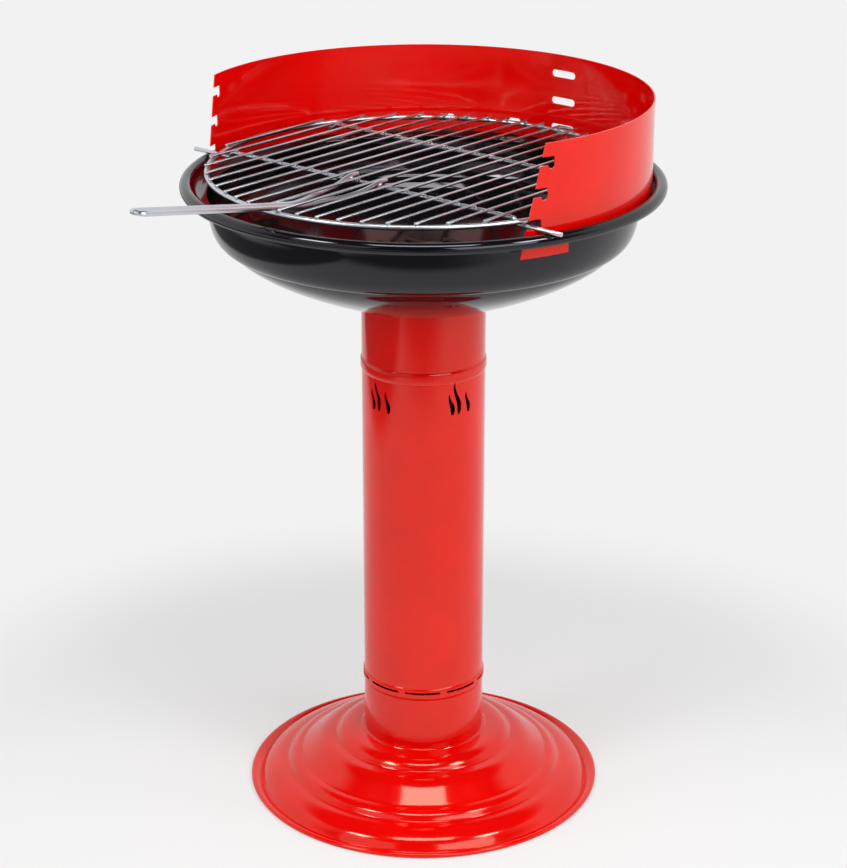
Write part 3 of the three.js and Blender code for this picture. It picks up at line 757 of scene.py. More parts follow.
# Steps of the pressed base, from its edge inwards: shares of the way out from the collar to the
# lip and of the collar's height. Each step starts flat and ends steep.
STEP_SHARES = [
    (0.898, 0.068), (0.872, 0.136), (0.839, 0.199), (0.785, 0.26), (0.73, 0.298), (0.684, 0.316),
    (0.662, 0.332), (0.646, 0.369), (0.622, 0.422), (0.588, 0.459), (0.554, 0.474), (0.532, 0.486),
    (0.487, 0.554), (0.436, 0.634), (0.386, 0.711), (0.343, 0.762), (0.298, 0.793), (0.257, 0.804),
    (0.229, 0.813), (0.214, 0.837), (0.195, 0.883), (0.165, 0.934), (0.118, 0.973), (0.059, 0.993)]


class BARBECUE_OT_base(bpy.types.Operator):
    """Press the base from one round sheet"""
    bl_idname = "barbecue.base"
    bl_label = "Base"

    def execute(self, context):
        sizes = context.scene.barbecue_base
        column = context.scene.barbecue_column
        lip = sizes.lip_height / 2
        lip_middle = (sizes.radius - lip, lip)
        groove = (sizes.radius - sizes.groove_inset, sizes.groove_height)
        collar = (column.radius + 2 * sizes.collar_width, sizes.ledge_height - sizes.ledge_rise)
        steps = [
            (collar[0] + (sizes.radius - collar[0]) * out, collar[1] * up) for out, up in STEP_SHARES]
        line = [(lip_middle[0] - sizes.lip_flat, 0)]
        line += arc(lip_middle, lip, -pi / 2, pi / 2, 10)
        line += curved(line[-1], (lip_middle[0] - lip, sizes.lip_height), groove, 6)
        line += smooth_line([groove, *steps, collar], 4)[1:]
        line += curved(collar, (column.radius + sizes.collar_width * 1.4, sizes.ledge_height),
                       (column.radius + sizes.collar_width / 2, sizes.ledge_height), 4)
        line += [(column.radius - sizes.ledge_width, sizes.ledge_height)]
        base = turned_sheet("pressed_base", line, sizes.sheet, ROUND_SIDES)
        ledge = sizes.ledge_height
        cut(base, [bolt_hole(x, y, ledge, ledge) for x, y in bolt_places()])
        dress(base, "stand", ["base_dome"], finishes()["red vitreous enamel"])
        return {"FINISHED"}


def bead_line(radius, middle, height, swell):
    """Points of a rolled bead: a soft ridge between two tight corners."""
    half = height / 2
    points = []
    for i in range(21):
        t = sin((i / 20 - 0.5) * pi)
        points.append((radius + swell * (1 - abs(t) ** 5), middle + t * half))
    return points


# Plain length of the tube at each end, and between its wall's rings and the vents
TUBE_END = 4 * MM
FLAME_MARGIN = 3 * MM

# A flame-shaped vent from foot to tip: shares of its height, how far it leans aside as a share of
# its height, and half its width as a share of the greatest width
FLAME_SHARES = [
    (0, 0.02, 0.2), (0.12, 0.035, 0.42), (0.34, 0.03, 0.5), (0.52, -0.03, 0.42),
    (0.68, -0.09, 0.32), (0.84, -0.125, 0.22), (1, -0.11, 0.04)]


def flame_outline(height, width, foot):
    """The S-shaped outline of one vent."""
    right = smooth_line(
        [(across * height + half * width, foot + up * height) for up, across, half in FLAME_SHARES], 4)
    left = smooth_line(
        [(across * height - half * width, foot + up * height) for up, across, half in FLAME_SHARES], 4)
    return right + left[::-1]


class BARBECUE_OT_column(bpy.types.Operator):
    """Roll the column with its two beads and cut its vents"""
    bl_idname = "barbecue.column"
    bl_label = "Column"

    def execute(self, context):
        sizes = context.scene.barbecue_column
        foot = context.scene.barbecue_base.ledge_height
        top = foot + sizes.height
        lower = foot + sizes.lower_bead_rise
        upper = top - sizes.upper_bead_drop
        flame_foot = top - sizes.flame_drop
        line = [(sizes.radius, foot), (sizes.radius, foot + TUBE_END)]
        line += bead_line(sizes.radius, lower, sizes.bead_height, sizes.bead_swell)
        below_flames = flame_foot - FLAME_MARGIN
        line += [(sizes.radius, below_flames), (sizes.radius, flame_foot + sizes.tall_flame / 2)]
        line += bead_line(sizes.radius, upper, sizes.bead_height, sizes.bead_swell)
        line += [(sizes.radius, top - TUBE_END), (sizes.radius, top)]
        tube = turned_sheet("column_tube_piece", line, sizes.sheet, COLUMN_SIDES)
        blocks = []
        low = lower + sizes.slot_rise - sizes.slot_height / 2
        for i in range(sizes.slot_count):
            start = sizes.slot_azimuth + 2 * pi * i / sizes.slot_count - sizes.slot_sweep / 2
            blocks.append(arc_block(
                sizes.radius - OVERRUN, sizes.radius + OVERRUN, start, start + sizes.slot_sweep,
                low, low + sizes.slot_height))
        group = [
            (sizes.small_flame, -sizes.flame_left), (sizes.tall_flame, 0),
            (sizes.small_flame, sizes.flame_right)]
        for i in range(sizes.flame_groups):
            for height, along in group:
                azimuth = sizes.flame_azimuth + sizes.flame_turn * i + along / sizes.radius
                outline = flame_outline(height, sizes.flame_width, flame_foot)
                blocks.append(cutting_block(
                    outline, sizes.radius - OVERRUN, sizes.radius + OVERRUN, facing(azimuth)))
        cut(tube, blocks)
        dress(tube, "stand", ["column_tube"], finishes()["red vitreous enamel"])
        # The inside of the tube gets the near-black painted shade
        tube.data.materials.append(finishes()["dark inside painted shade enamel"])
        edit(tube)
        select_where(tube, lambda co: hypot(co.x, co.y - AXIS_Y) < sizes.radius - sizes.sheet / 2)
        tube.active_material_index = 1
        bpy.ops.object.material_slot_assign()
        leave_edit()
        return {"FINISHED"}


# The bowl's sharp crease: shares of the way out from the flat bottom to the wall, and of the wall's
# height. The bends set how full the curves below and above it are.
CREASE_SHARES = (0.862, 0.555)
BEND_BELOW_CREASE = (0.86, 0.6)
BEND_ABOVE_CREASE = (1, 0.06)


class BARBECUE_OT_bowl(bpy.types.Operator):
    """Draw the bowl, roll its rim and cut the slits for the windshield"""
    bl_idname = "barbecue.bowl"
    bl_label = "Bowl"

    def execute(self, context):
        sizes = context.scene.barbecue_bowl
        shield = context.scene.barbecue_windshield
        column = context.scene.barbecue_column
        at = levels()
        bottom, wall = at["bowl_bottom"], at["wall_radius"]
        foot = (sizes.flat_radius, bottom + sizes.curve_rise)
        wall_top = (wall, bottom + sizes.wall_height)
        out, up = CREASE_SHARES
        crease = (foot[0] + (wall - foot[0]) * out, bottom + sizes.wall_height * up)
        shoulder = (wall + sizes.shoulder_lift, at["shoulder"])
        roll = (sizes.rim_radius - sizes.roll_radius, at["rim_top"] - sizes.roll_radius)
        outer = (roll[0] - sizes.roll_radius + sizes.sheet, shoulder[1] + sizes.shoulder_rise)
        line = [(column.radius - sizes.hole_inset, bottom), (foot[0] - 6 * MM, bottom)]
        line += curved(line[-1], (foot[0] - 2 * MM, bottom), foot, 4)
        line += curved(foot, between(foot, crease, BEND_BELOW_CREASE), crease, 20)
        line += curved(crease, between(crease, wall_top, BEND_ABOVE_CREASE), wall_top, 12)
        line += curved(wall_top, (wall, at["shoulder"]), shoulder, 3)
        line += [between(shoulder, outer, (0.5, 0.5))]
        line += curved(line[-1], outer, (roll[0] - sizes.roll_radius + sizes.sheet, roll[1]), 5)
        line += arc(roll, sizes.roll_radius - sizes.sheet, pi, -sizes.hem_angle, 20)[1:]
        bowl = turned_sheet("drawn_bowl", line, sizes.sheet, ROUND_SIDES)
        half = shield.sheet / 2 + SEAT_GAP
        start = (end_arc(at["shield_foot"]) - shield.slit_play) / at["shield_radius"]
        end = (end_arc(at["shield_foot"]) + shield.tab_width + shield.slit_play) / at["shield_radius"]
        blocks = [bolt_hole(x, y, bottom, bottom) for x, y in bolt_places()]
        for first, last in ((start, end), (-end, -start)):
            blocks.append(arc_block(
                at["shield_radius"] - half, at["shield_radius"] + half, first, last,
                shoulder[1] - OVERRUN, outer[1] + OVERRUN))
        cut(bowl, blocks)
        dress(bowl, "stand", ["bowl"], finishes()["black vitreous enamel"])
        return {"FINISHED"}


def notch_outline(shield, at):
    """A J-shaped notch, open at the end's edge. The bar drops into the pocket at its inner end."""
    inner = shield.pocket_width / 2
    floor, roof = at["notch_floor"], at["notch_roof"]
    mouth = -shield.pocket_inset - OVERRUN
    pocket = floor - shield.pocket_depth + inner
    outline = [(mouth, floor), (-inner, floor)]
    outline += arc((0, pocket), inner, pi, 2 * pi, 12)
    outline += [(inner, roof - shield.notch_corner)]
    outline += curved(outline[-1], (inner, roof), (inner - shield.notch_corner, roof), 5)
    return outline + [(mouth, roof)]


class BARBECUE_OT_windshield(bpy.types.Operator):
    """Bend the windshield and cut its ends, notches and slots"""
    bl_idname = "barbecue.windshield"
    bl_label = "Windshield"

    def execute(self, context):
        sizes = context.scene.barbecue_windshield
        bowl = context.scene.barbecue_bowl
        grate = context.scene.barbecue_cooking_grate
        at = levels()
        radius, foot, top = at["shield_radius"], at["shield_foot"], at["shield_top"]
        skin = radius + sizes.sheet / 2
        line = [(skin, foot), (skin, at["notch_floor"]), (skin, (foot + top) / 2), (skin, top)]
        shield = turned_sheet("bent_windshield", line, sizes.sheet, ROUND_SIDES)
        roll = bowl.rim_radius - 2 * bowl.roll_radius + bowl.sheet
        slope = bowl.shoulder_rise / (roll - at["wall_radius"] - bowl.shoulder_lift)
        seat = (at["shoulder"] + (skin - at["wall_radius"] - bowl.shoulder_lift) * slope
                + bowl.sheet * hypot(1, slope) + SEAT_GAP)
        tab_end = (end_arc(foot) + sizes.tab_width) / radius
        front = (end_arc(foot) - OVERRUN / 2) / radius
        inner, outer = radius - OVERRUN, radius + OVERRUN
        blocks = [
            arc_block(inner, outer, -front, front, foot - OVERRUN, top + OVERRUN),
            arc_block(inner, outer, tab_end, 2 * pi - tab_end, foot - OVERRUN, seat)]
        low, high = foot - OVERRUN, top + OVERRUN
        middle = end_arc((low + high) / 2)
        half = end_arc(high) - middle
        wedge = [(-half - OVERRUN, low), (-half, low), (half, high), (-half - OVERRUN, high)]
        for side in (1, -1):
            outline = wedge if side > 0 else mirrored(wedge)
            blocks.append(cutting_block(outline, inner, outer, facing(side * middle / radius)))
            for level in range(sizes.levels):
                rise = level * sizes.level_pitch
                notch = [(u, v + rise) for u, v in notch_outline(sizes, at)]
                outline = notch if side > 0 else mirrored(notch)
                place = (end_arc(at["notch_floor"] + rise) + sizes.pocket_inset) / radius
                blocks.append(cutting_block(outline, inner, outer, facing(side * place)))
        slot = at["hook_axis"] - grate.hook_wire / 2 - SEAT_GAP + sizes.rear_slot_height / 2
        for level in range(sizes.levels):
            outline = rounded_slot(
                sizes.rear_slot_width, sizes.rear_slot_height, slot + level * sizes.level_pitch)
            blocks.append(cutting_block(outline, inner, outer, facing(pi)))
        for turn in (sizes.inner_vent_turn, sizes.outer_vent_turn):
            for azimuth in (pi - turn, pi + turn):
                outline = rounded_slot(sizes.vent_width, sizes.vent_height, slot)
                blocks.append(cutting_block(outline, inner, outer, facing(azimuth)))
        cut(shield, blocks, crossing=True)
        dress(shield, "windshield", ["windshield"], finishes()["red vitreous enamel"])
        return {"FINISHED"}


# The rounding at each end of a cross bar's bend: its length and its drop
BEND_LENGTH = 2 * MM
BEND_DROP = 0.3 * MM


def crossing_bar(name, reach, y, at, grate):
    """A cross bar that runs under the rods and is bent down to pass under the ring."""
    ring_crossing = sqrt(at["grate_radius"] ** 2 - grate.bar_offset ** 2)
    low = ring_crossing - grate.joggle_inset
    high = low - grate.joggle_length
    bar_axis = at["wire_top"] - grate.bar_wire / 2
    half = [
        (high, bar_axis), (high + BEND_LENGTH, bar_axis - BEND_DROP),
        (low - BEND_LENGTH, at["stub_axis"] + BEND_DROP), (low, at["stub_axis"]),
        (reach, at["stub_axis"])]
    points = [(-x, y, z) for x, z in reversed(half)] + [(x, y, z) for x, z in half]
    return wire(name, points, grate.bar_wire, smooth=False)


class BARBECUE_OT_cooking_ring(bpy.types.Operator):
    """Bend the grate's ring and its two cross bars"""
    bl_idname = "barbecue.cooking_ring"
    bl_label = "Grate ring and bars"

    def execute(self, context):
        grate = context.scene.barbecue_cooking_grate
        bowl = context.scene.barbecue_bowl
        at = levels()
        finish = finishes()["bright chromium plated wire"]
        middle = (0, at["grate_y"], at["ring_axis"])
        ring = wire_ring("grate_ring", at["grate_radius"], grate.ring_wire, middle)
        dress(ring, "cooking_grate", ["cooking_ring"], finish)
        reach = bowl.rim_radius - grate.stub_inset
        front = crossing_bar("grate_front_bar", reach, at["grate_y"] - grate.bar_offset, at, grate)
        dress(front, "cooking_grate", ["cooking_bar_front"], finish)
        reach = sqrt(at["grate_radius"] ** 2 - grate.bar_offset ** 2) + grate.rear_overhang
        rear = crossing_bar("grate_rear_bar", reach, at["grate_y"] + grate.bar_offset, at, grate)
        dress(rear, "cooking_grate", ["cooking_bar_rear"], finish)
        return {"FINISHED"}


class BARBECUE_OT_cooking_rods(bpy.types.Operator):
    """Lay the grate's rods and weld them to the ring and the bars"""
    bl_idname = "barbecue.cooking_rods"
    bl_label = "Grate rods"

    def execute(self, context):
        grate = context.scene.barbecue_cooking_grate
        at = levels()
        finish = finishes()["bright chromium plated wire"]
        axis = at["wire_top"] + SEAT_GAP + grate.rod_wire / 2
        half = at["grate_radius"] + grate.rod_overhang
        model = straight_wire("rod_model", grate.rod_wire, 2 * half, (0, at["grate_y"], axis), "Y")
        blob = weld_blob(
            (0, at["grate_y"], axis - 0.2 * grate.rod_wire), (3.4 * MM, 4.0 * MM, 3.1 * MM))
        pitch = 2 * (at["grate_radius"] - grate.rod_edge_inset) / (grate.rod_count - 1)
        for i in range(grate.rod_count):
            x = (i - (grate.rod_count - 1) / 2) * pitch
            chord = sqrt(at["grate_radius"] ** 2 - x ** 2)
            crossings = [
                offset for offset in (-chord, -grate.bar_offset, grate.bar_offset, chord)
                if abs(offset) <= chord]
            rod = welded_rod(
                model, blob, numbered("grate_rod", i), Vector((0, 1, 0)),
                half - chord - grate.rod_overhang, crossings)
            move(rod, (x, 0, 0))
            node_name = numbered("cooking_rod", i)
            dress(rod, "cooking_grate", [node_name], finish, SMOOTH_WELDED)
        bpy.data.objects.remove(model)
        bpy.data.objects.remove(blob)
        return {"FINISHED"}


class BARBECUE_OT_cooking_hook(bpy.types.Operator):
    """Bend the hook that goes through the windshield's rear slot"""
    bl_idname = "barbecue.cooking_hook"
    bl_label = "Grate hook"

    def execute(self, context):
        grate = context.scene.barbecue_cooking_grate
        shield = context.scene.barbecue_windshield
        at = levels()
        half = (grate.hook_width - grate.hook_wire) / 2
        cross = (AXIS_Y + at["shield_radius"] + shield.sheet / 2 + grate.hook_beyond
                 + grate.hook_wire / 2)
        root = at["grate_y"] + at["grate_radius"] - grate.hook_root
        corner = (half - grate.hook_corner, cross - grate.hook_corner)
        points = [(half, root)] + arc(corner, grate.hook_corner, 0, pi / 2, 8)
        points = [(x, y, at["hook_axis"]) for x, y in points]
        points += [(-x, y, z) for x, y, z in reversed(points)]
        hook = wire("grate_hook", points, grate.hook_wire, smooth=False)
        dress(hook, "cooking_grate", ["cooking_hook"],
              finishes()["bright chromium plated wire"])
        return {"FINISHED"}


class BARBECUE_OT_cooking_handle(bpy.types.Operator):
    """Bend the grate's handle from one wire"""
    bl_idname = "barbecue.cooking_handle"
    bl_label = "Grate handle"

    def execute(self, context):
        grate = context.scene.barbecue_cooking_grate
        at = levels()
        high = at["wire_top"] + SEAT_GAP + grate.handle_wire / 2
        low = high - grate.handle_dip_drop
        bar, ring = -grate.bar_offset, -at["grate_radius"]
        pitch = 2 * (at["grate_radius"] - grate.rod_edge_inset) / (grate.rod_count - 1)
        inner_rod = pitch / 2
        neck = inner_rod - (grate.rod_wire + grate.handle_wire) / 2 - grate.handle_rod_gap
        root = grate.handle_root_half_gap
        width, drop, behind = grate.handle_wire, grate.handle_dip_drop, grate.handle_root_behind
        dip = [bar + (ring - bar) * share for share in (0.317, 0.515, 0.698)]
        tip = (-(grate.handle_reach - grate.forward) + width / 2 + grate.handle_loop_radius)
        tip_height = at["rim_top"] + grate.handle_tip_rise
        side = [
            (root, bar + behind, high),
            (root, bar - behind / 4, high),
            (root, bar - behind, high - drop / 8),
            ((root + inner_rod) / 2 + width / 2, (dip[0] + bar) / 2, (high + 2 * low) / 3),
            ((root + inner_rod) / 2 + width / 8, dip[0], low),
            (inner_rod, dip[1], low),
            (neck + width / 5, dip[2], low),
            (neck, dip[2] - 2 * width, (5 * low + high) / 6),
            (neck, ring + 3 * grate.ring_wire, (low + 2 * high) / 3),
            (neck, ring + grate.handle_rise_end, high),
            (neck, ring - 2 * grate.handle_rise_end, high + grate.handle_rise_end / 2),
            (grate.handle_loop_radius, tip, tip_height)]
        slope = (side[-1][2] - side[-2][2]) / (side[-2][1] - side[-1][1])
        loop = []
        for i in range(1, 8):
            turn = pi * i / 8
            forward = grate.handle_loop_radius * sin(turn)
            loop.append((
                grate.handle_loop_radius * cos(turn), tip - forward, tip_height + forward * slope))
        points = side + loop + [(-x, y, z) for x, y, z in reversed(side)]
        points = [(x, y + at["grate_y"], z) for x, y, z in points]
        handle = wire("grate_handle", points, width)
        dress(handle, "cooking_grate", ["cooking_handle"],
              finishes()["bright chromium plated wire"])
        return {"FINISHED"}


class BARBECUE_OT_coal_grate(bpy.types.Operator):
    """Make the loose coal grate in the bowl"""
    bl_idname = "barbecue.coal_grate"
    bl_label = "Coal grate"

    def execute(self, context):
        sizes = context.scene.barbecue_coal_grate
        finish = finishes()["heat darkened steel wire"]
        middle = middle_of("coal_ring")
        ring = wire_ring("coal_grate_ring", sizes.radius, sizes.ring_wire, middle)
        dress(ring, "coal_grate", ["coal_ring"], finish)
        axis = middle.z + sizes.ring_wire / 2 + SEAT_GAP + sizes.rod_wire / 2
        half = sizes.radius + sizes.overhang
        model = straight_wire("coal_rod_model", sizes.rod_wire, 2 * half, (0, AXIS_Y, axis), "X")
        blob = weld_blob((0, AXIS_Y, axis - 0.25 * sizes.rod_wire), (6 * MM, 5.2 * MM, 4.4 * MM))
        pitch = 2 * (sizes.radius - sizes.edge_inset) / (sizes.rod_count - 1)
        for i in range(sizes.rod_count):
            y = (i - (sizes.rod_count - 1) / 2) * pitch
            chord = sqrt(sizes.radius ** 2 - y ** 2)
            rod = welded_rod(
                model, blob, numbered("coal_grate_rod", i), Vector((1, 0, 0)),
                half - chord - sizes.overhang, (chord, -chord))
            move(rod, (0, y, 0))
            dress(rod, "coal_grate", [numbered("coal_rod", i)], finish, SMOOTH_WELDED)
        bpy.data.objects.remove(model)
        bpy.data.objects.remove(blob)
        return {"FINISHED"}


def hex_block(name, sizes, low, high):
    """A hexagon with its corners turned off at the top, as on a bolt's head or a nut."""
    clear_selection()
    across = sizes.hex_width / cos(pi / 6)
    bpy.ops.mesh.primitive_cylinder_add(
        vertices=6, radius=across / 2, depth=high - low, location=(0, 0, (low + high) / 2))
    block = begin(name)
    clear_selection()
    bpy.ops.mesh.primitive_cone_add(
        vertices=48, radius1=across / 2 + (high - low), radius2=across / 2 - 0.75 * MM,
        depth=(high - low) * 2.2, location=(0, 0, high - (high - low) * 1.1))
    cone = begin("turning")
    modifier(block, "BOOLEAN", operation="INTERSECT", object=cone, solver="EXACT")
    bpy.data.objects.remove(cone)
    return block


class BARBECUE_OT_fasteners(bpy.types.Operator):
    """Fit the plates, bolts and nuts that hold base, column and bowl together"""
    bl_idname = "barbecue.fasteners"
    bl_label = "Plates, bolts and nuts"

    def execute(self, context):
        sizes = context.scene.barbecue_fasteners
        finish = finishes()["zinc plated steel"]
        at = levels()
        ledge = context.scene.barbecue_base.ledge_height
        bowl_sheet = context.scene.barbecue_bowl.sheet
        base_sheet = context.scene.barbecue_base.sheet
        for name in ("column_foot_plate", "column_top_ring"):
            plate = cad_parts[name]
            plate.data.materials.clear()
            plate.data.materials.append(finish)
        nut = hex_block("nut_model", sizes, 0, sizes.nut_height)
        cut(nut, [bolt_hole(0, -AXIS_Y, 0, sizes.nut_height)])
        bowl_nut = at["bowl_bottom"] - sizes.plate - sizes.nut_height
        for name, grip, height, nut_height, flip in (
                ("bowl", bowl_sheet + sizes.plate, at["bowl_bottom"] + bowl_sheet, bowl_nut, False),
                ("base", base_sheet + sizes.plate, ledge - base_sheet, ledge + sizes.plate, True)):
            bolt = hex_block("bolt_model", sizes, 0, sizes.head_height)
            clear_selection()
            length = grip + sizes.nut_height + sizes.tail + sizes.head_height / 2
            bpy.ops.mesh.primitive_cylinder_add(
                vertices=BOLT_SIDES, radius=sizes.shank / 2, depth=length,
                location=(0, 0, sizes.head_height / 2 - length / 2))
            shank = begin("shank")
            soften(shank, 0.6 * MM, radians(60))
            modifier(bolt, "BOOLEAN", operation="UNION", object=shank, solver="EXACT")
            bpy.data.objects.remove(shank)
            for i, (x, y) in enumerate(bolt_places()):
                fitted = copy_of(bolt, numbered(f"{name}_hex_bolt", i))
                if flip:
                    edit(fitted)
                    bpy.ops.transform.rotate(
                        value=pi, orient_axis="X", center_override=(0, 0, 0))
                    leave_edit()
                move(fitted, (x, y + AXIS_Y, height))
                dress(fitted, "stand", [numbered(f"{name}_bolt", i)], finish)
                below = copy_of(nut, numbered(f"{name}_hex_nut", i))
                move(below, (x, y + AXIS_Y, nut_height))
                dress(below, "stand", [numbered(f"{name}_nut", i)], finish)
            bpy.data.objects.remove(bolt)
        bpy.data.objects.remove(nut)
        return {"FINISHED"}


# Studio

LAMP_TARGET = Vector((0, AXIS_Y, 50 * MM))
LAMP_DISTANCE = 2400 * MM


class BARBECUE_OT_studio(bpy.types.Operator):
    """Set up the floor, the lamps and the camera"""
    bl_idname = "barbecue.studio"
    bl_label = "Studio"

    def execute(self, context):
        sizes = context.scene.barbecue_studio
        scene = context.scene
        scene.view_settings.view_transform = "Standard"

        clear_selection()
        bpy.ops.mesh.primitive_plane_add(size=sizes.floor_size, location=(0, AXIS_Y, 0))
        floor = begin("studio_floor")
        floor.data.materials.append(self.paper(sizes))

        scene.world = self.surroundings(sizes)

        for name, turn, rise, extent, glow in (
                ("overhead softbox", 0, 72, (1.1, 0.6), 7.4),
                ("high right softbox", 57, 52, (0.46, 0.4), 18),
                ("high left softbox", -57, 52, (0.46, 0.4), 18),
                ("front right softbox", 32, 34, (1.4, 1.1), 3.3),
                ("front left softbox", -42, 34, (1.4, 1.1), 0.8)):
            self.lamp(name, sizes.camera_azimuth + radians(turn), radians(rise), extent, glow)

        view = sizes.camera_azimuth
        camera = bpy.data.objects.new("camera", bpy.data.cameras.new("camera"))
        context.collection.objects.link(camera)
        camera.location = (
            sizes.camera_distance * sin(view), AXIS_Y - sizes.camera_distance * cos(view),
            sizes.camera_height)
        camera.rotation_euler = (pi / 2 - sizes.camera_pitch, 0, view)
        camera.data.lens = sizes.lens
        camera.data.sensor_width = 36
        scene.camera = camera
        return {"FINISHED"}

    def paper(self, sizes):
        """Matt backdrop paper. The lamps light it round the object, where it takes the shadow, and a
        painted glow, which the camera and reflections see, lightens that shadow. Further out it is evenly
        pale.
        Reflections see the dim room before its front edge and a dark screen at the left instead."""
        made, shader = material("matt backdrop paper")
        tree = made.node_tree
        shader.inputs["Base Color"].default_value = (*sizes.backdrop, 1)
        shader.inputs["Roughness"].default_value = 1
        shader.inputs["Specular IOR Level"].default_value = 0
        path = node(tree, "ShaderNodeLightPath").outputs
        place = node(tree, "ShaderNodeTexCoord").outputs["Object"]
        moved = node(
            tree, "ShaderNodeMapping", {"Location": (0, -AXIS_Y, 0)}, Vector=place).outputs["Vector"]
        turned = node(
            tree, "ShaderNodeMapping", {"Rotation": (0, 0, -sizes.camera_azimuth)}, Vector=moved)
        across = node(tree, "ShaderNodeSeparateXYZ", Vector=turned.outputs["Vector"]).outputs
        away = node(tree, "ShaderNodeVectorMath", {"operation": "LENGTH"}, Vector=moved)
        # Round the object the camera and reflections see a share of painted glow in the paper, which
        # lightens its shadow
        outside = node(
            tree, "ShaderNodeMapRange",
            {"From Min": sizes.shadow_reach, "From Max": sizes.shadow_reach * 1.6,
             "To Min": sizes.painted_glow_share, "interpolation_type": "SMOOTHSTEP"},
            Value=away.outputs["Value"])
        # The room is darkest before the paper's front edge, a little to the left of the camera
        before_edge = self.fade(tree, across["Y"], -sizes.front_edge * 0.75, -sizes.front_edge * 1.05)
        aside = node(tree, "ShaderNodeMath", {"operation": "ADD", 1: sizes.dark_offset}, Value=across["X"])
        aside = node(tree, "ShaderNodeMath", {"operation": "ABSOLUTE"}, Value=aside.outputs["Value"])
        middle = self.fade(tree, aside.outputs["Value"], sizes.dark_width * 1.2, sizes.dark_width * 0.4)
        in_front = node(tree, "ShaderNodeMath", {"operation": "MULTIPLY", 1: middle}, Value=before_edge)
        # A dark screen stands at the left
        near_side = self.fade(tree, across["X"], -sizes.screen_near * 0.93, -sizes.screen_near * 1.07)
        far_side = self.fade(tree, across["X"], -sizes.screen_far * 1.07, -sizes.screen_far * 0.93)
        screen = node(tree, "ShaderNodeMath", {"operation": "MULTIPLY", 1: far_side}, Value=near_side)
        beyond = node(
            tree, "ShaderNodeMath", {"operation": "MAXIMUM", 1: screen.outputs["Value"]},
            Value=in_front.outputs["Value"])
        dim = node(
            tree, "ShaderNodeMath", {"operation": "MULTIPLY", 1: beyond.outputs["Value"]},
            Value=path["Is Glossy Ray"])
        seen = node(
            tree, "ShaderNodeMath", {"operation": "MAXIMUM", 1: path["Is Camera Ray"]},
            Value=path["Is Glossy Ray"])
        # Share of emission: painted glow round the object, the even backdrop further out
        even = node(
            tree, "ShaderNodeMath", {"operation": "MULTIPLY", 1: outside.outputs["Result"]},
            Value=seen.outputs["Value"])
        tone = node(
            tree, "ShaderNodeMix",
            {"data_type": "RGBA", 6: (*sizes.backdrop, 1), 7: (*sizes.far_floor, 1)},
            Factor=dim.outputs["Value"])
        pale = node(tree, "ShaderNodeEmission", {"Strength": 1}, Color=tone.outputs[2])
        mixed = node(
            tree, "ShaderNodeMixShader", {1: shader.outputs["BSDF"], 2: pale.outputs["Emission"]},
            Fac=even.outputs["Value"])
        tree.links.new(mixed.outputs["Shader"], tree.nodes["Material Output"].inputs["Surface"])
        return made

    def fade(self, tree, value, clear, full):
        """A soft step from 0 where the value is clear to 1 where it is full."""
        step = node(
            tree, "ShaderNodeMapRange",
            {"From Min": clear, "From Max": full, "interpolation_type": "SMOOTHSTEP"}, Value=value)
        return step.outputs["Result"]

    def surroundings(self, sizes):
        """The paper sweeps up behind the object. Over it and behind the camera the room is dim."""
        world = bpy.data.worlds.new("studio surroundings")
        world.use_nodes = True
        tree = world.node_tree
        direction = node(tree, "ShaderNodeTexCoord").outputs["Generated"]
        turned = node(
            tree, "ShaderNodeMapping", {"Rotation": (0, 0, -sizes.camera_azimuth)}, Vector=direction)
        parts = node(tree, "ShaderNodeSeparateXYZ", Vector=turned.outputs["Vector"]).outputs
        behind = self.fade(tree, parts["Y"], -0.4, 0.1)
        top, softness = sin(sizes.sweep_top), 0.06
        below = self.fade(tree, parts["Z"], top + softness, top - softness)
        sweep = node(tree, "ShaderNodeMath", {"operation": "MULTIPLY", 1: below}, Value=behind)
        path = node(tree, "ShaderNodeLightPath").outputs
        fill = node(
            tree, "ShaderNodeMath", {"operation": "MULTIPLY", 1: sizes.fill},
            Value=path["Is Diffuse Ray"])
        lit = node(
            tree, "ShaderNodeMath", {"operation": "MAXIMUM", 1: fill.outputs["Value"]},
            Value=sweep.outputs["Value"])
        pale = node(
            tree, "ShaderNodeMath", {"operation": "MAXIMUM", 1: path["Is Camera Ray"]},
            Value=lit.outputs["Value"])
        tone = node(
            tree, "ShaderNodeMix",
            {"data_type": "RGBA", 6: (*sizes.room, 1), 7: (*sizes.backdrop, 1)},
            Factor=pale.outputs["Value"])
        tree.links.new(tone.outputs[2], tree.nodes["Background"].inputs["Color"])
        return world

    def lamp(self, name, azimuth, rise, extent, glow):
        """A soft box aimed at the object, at an azimuth from the front. glow is how bright its face is,
        where 1 is the pale paper."""
        data = bpy.data.lights.new(name, "AREA")
        data.shape = "RECTANGLE"
        data.size, data.size_y = extent
        data.energy = glow * pi * extent[0] * extent[1]
        lamp = bpy.data.objects.new(name, data)
        bpy.context.collection.objects.link(lamp)
        aim = Vector((-sin(azimuth) * cos(rise), cos(azimuth) * cos(rise), -sin(rise)))
        lamp.location = LAMP_TARGET - aim * LAMP_DISTANCE
        lamp.rotation_euler = aim.to_track_quat("-Z", "Y").to_euler()


class BARBECUE_PT_panel(bpy.types.Panel):
    """The steps that make the barbecue, in order"""
    bl_idname = "BARBECUE_PT_panel"
    bl_label = "Barbecue"
    bl_space_type = "VIEW_3D"
    bl_region_type = "UI"
    bl_category = "Barbecue"

    def draw(self, context):
        for step in STEPS:
            self.layout.operator(step.bl_idname)


STEPS = (
    BARBECUE_OT_studio,
    BARBECUE_OT_base,
    BARBECUE_OT_column,
    BARBECUE_OT_bowl,
    BARBECUE_OT_windshield,
    BARBECUE_OT_cooking_ring,
    BARBECUE_OT_cooking_rods,
    BARBECUE_OT_cooking_hook,
    BARBECUE_OT_cooking_handle,
    BARBECUE_OT_coal_grate,
    BARBECUE_OT_fasteners,
)


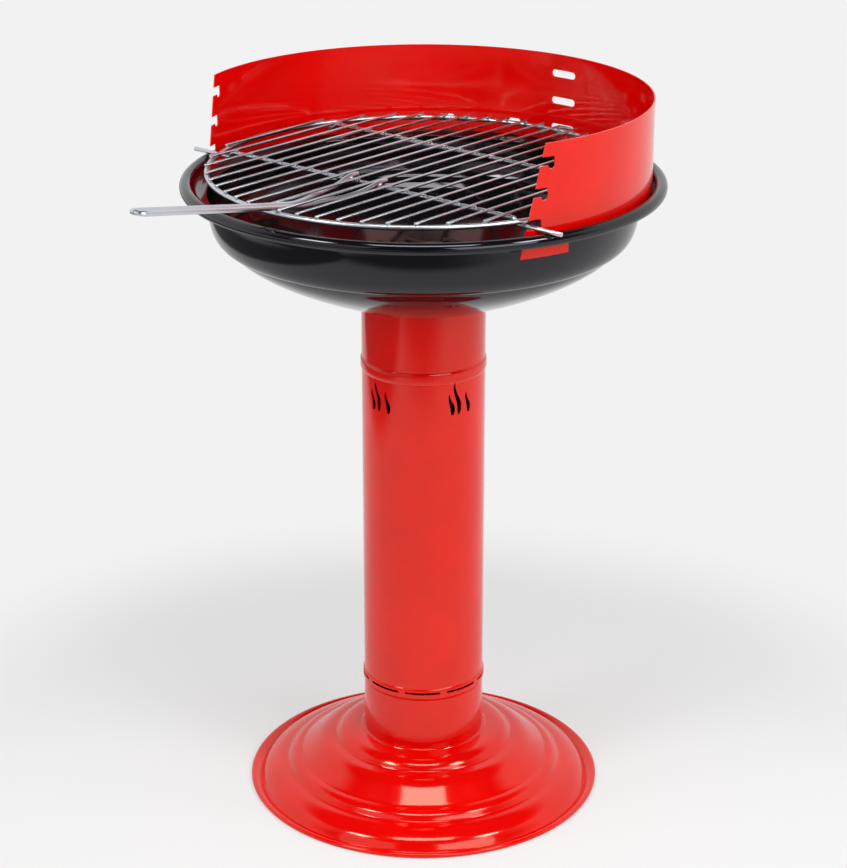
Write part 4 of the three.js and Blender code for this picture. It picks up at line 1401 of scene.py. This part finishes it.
def register():
    for group in GROUPS.values():
        bpy.utils.register_class(group)
    for name, group in GROUPS.items():
        setattr(bpy.types.Scene, name, PointerProperty(type=group))
    for step in STEPS:
        bpy.utils.register_class(step)
    bpy.utils.register_class(BARBECUE_PT_panel)


def unregister():
    bpy.utils.unregister_class(BARBECUE_PT_panel)
    for step in reversed(STEPS):
        bpy.utils.unregister_class(step)
    for name, group in GROUPS.items():
        delattr(bpy.types.Scene, name)
        bpy.utils.unregister_class(group)


def main():
    register()
    for step in STEPS:
        family, name = step.bl_idname.split(".")
        getattr(getattr(bpy.ops, family), name)()


if __name__ == "__main__":
    main()
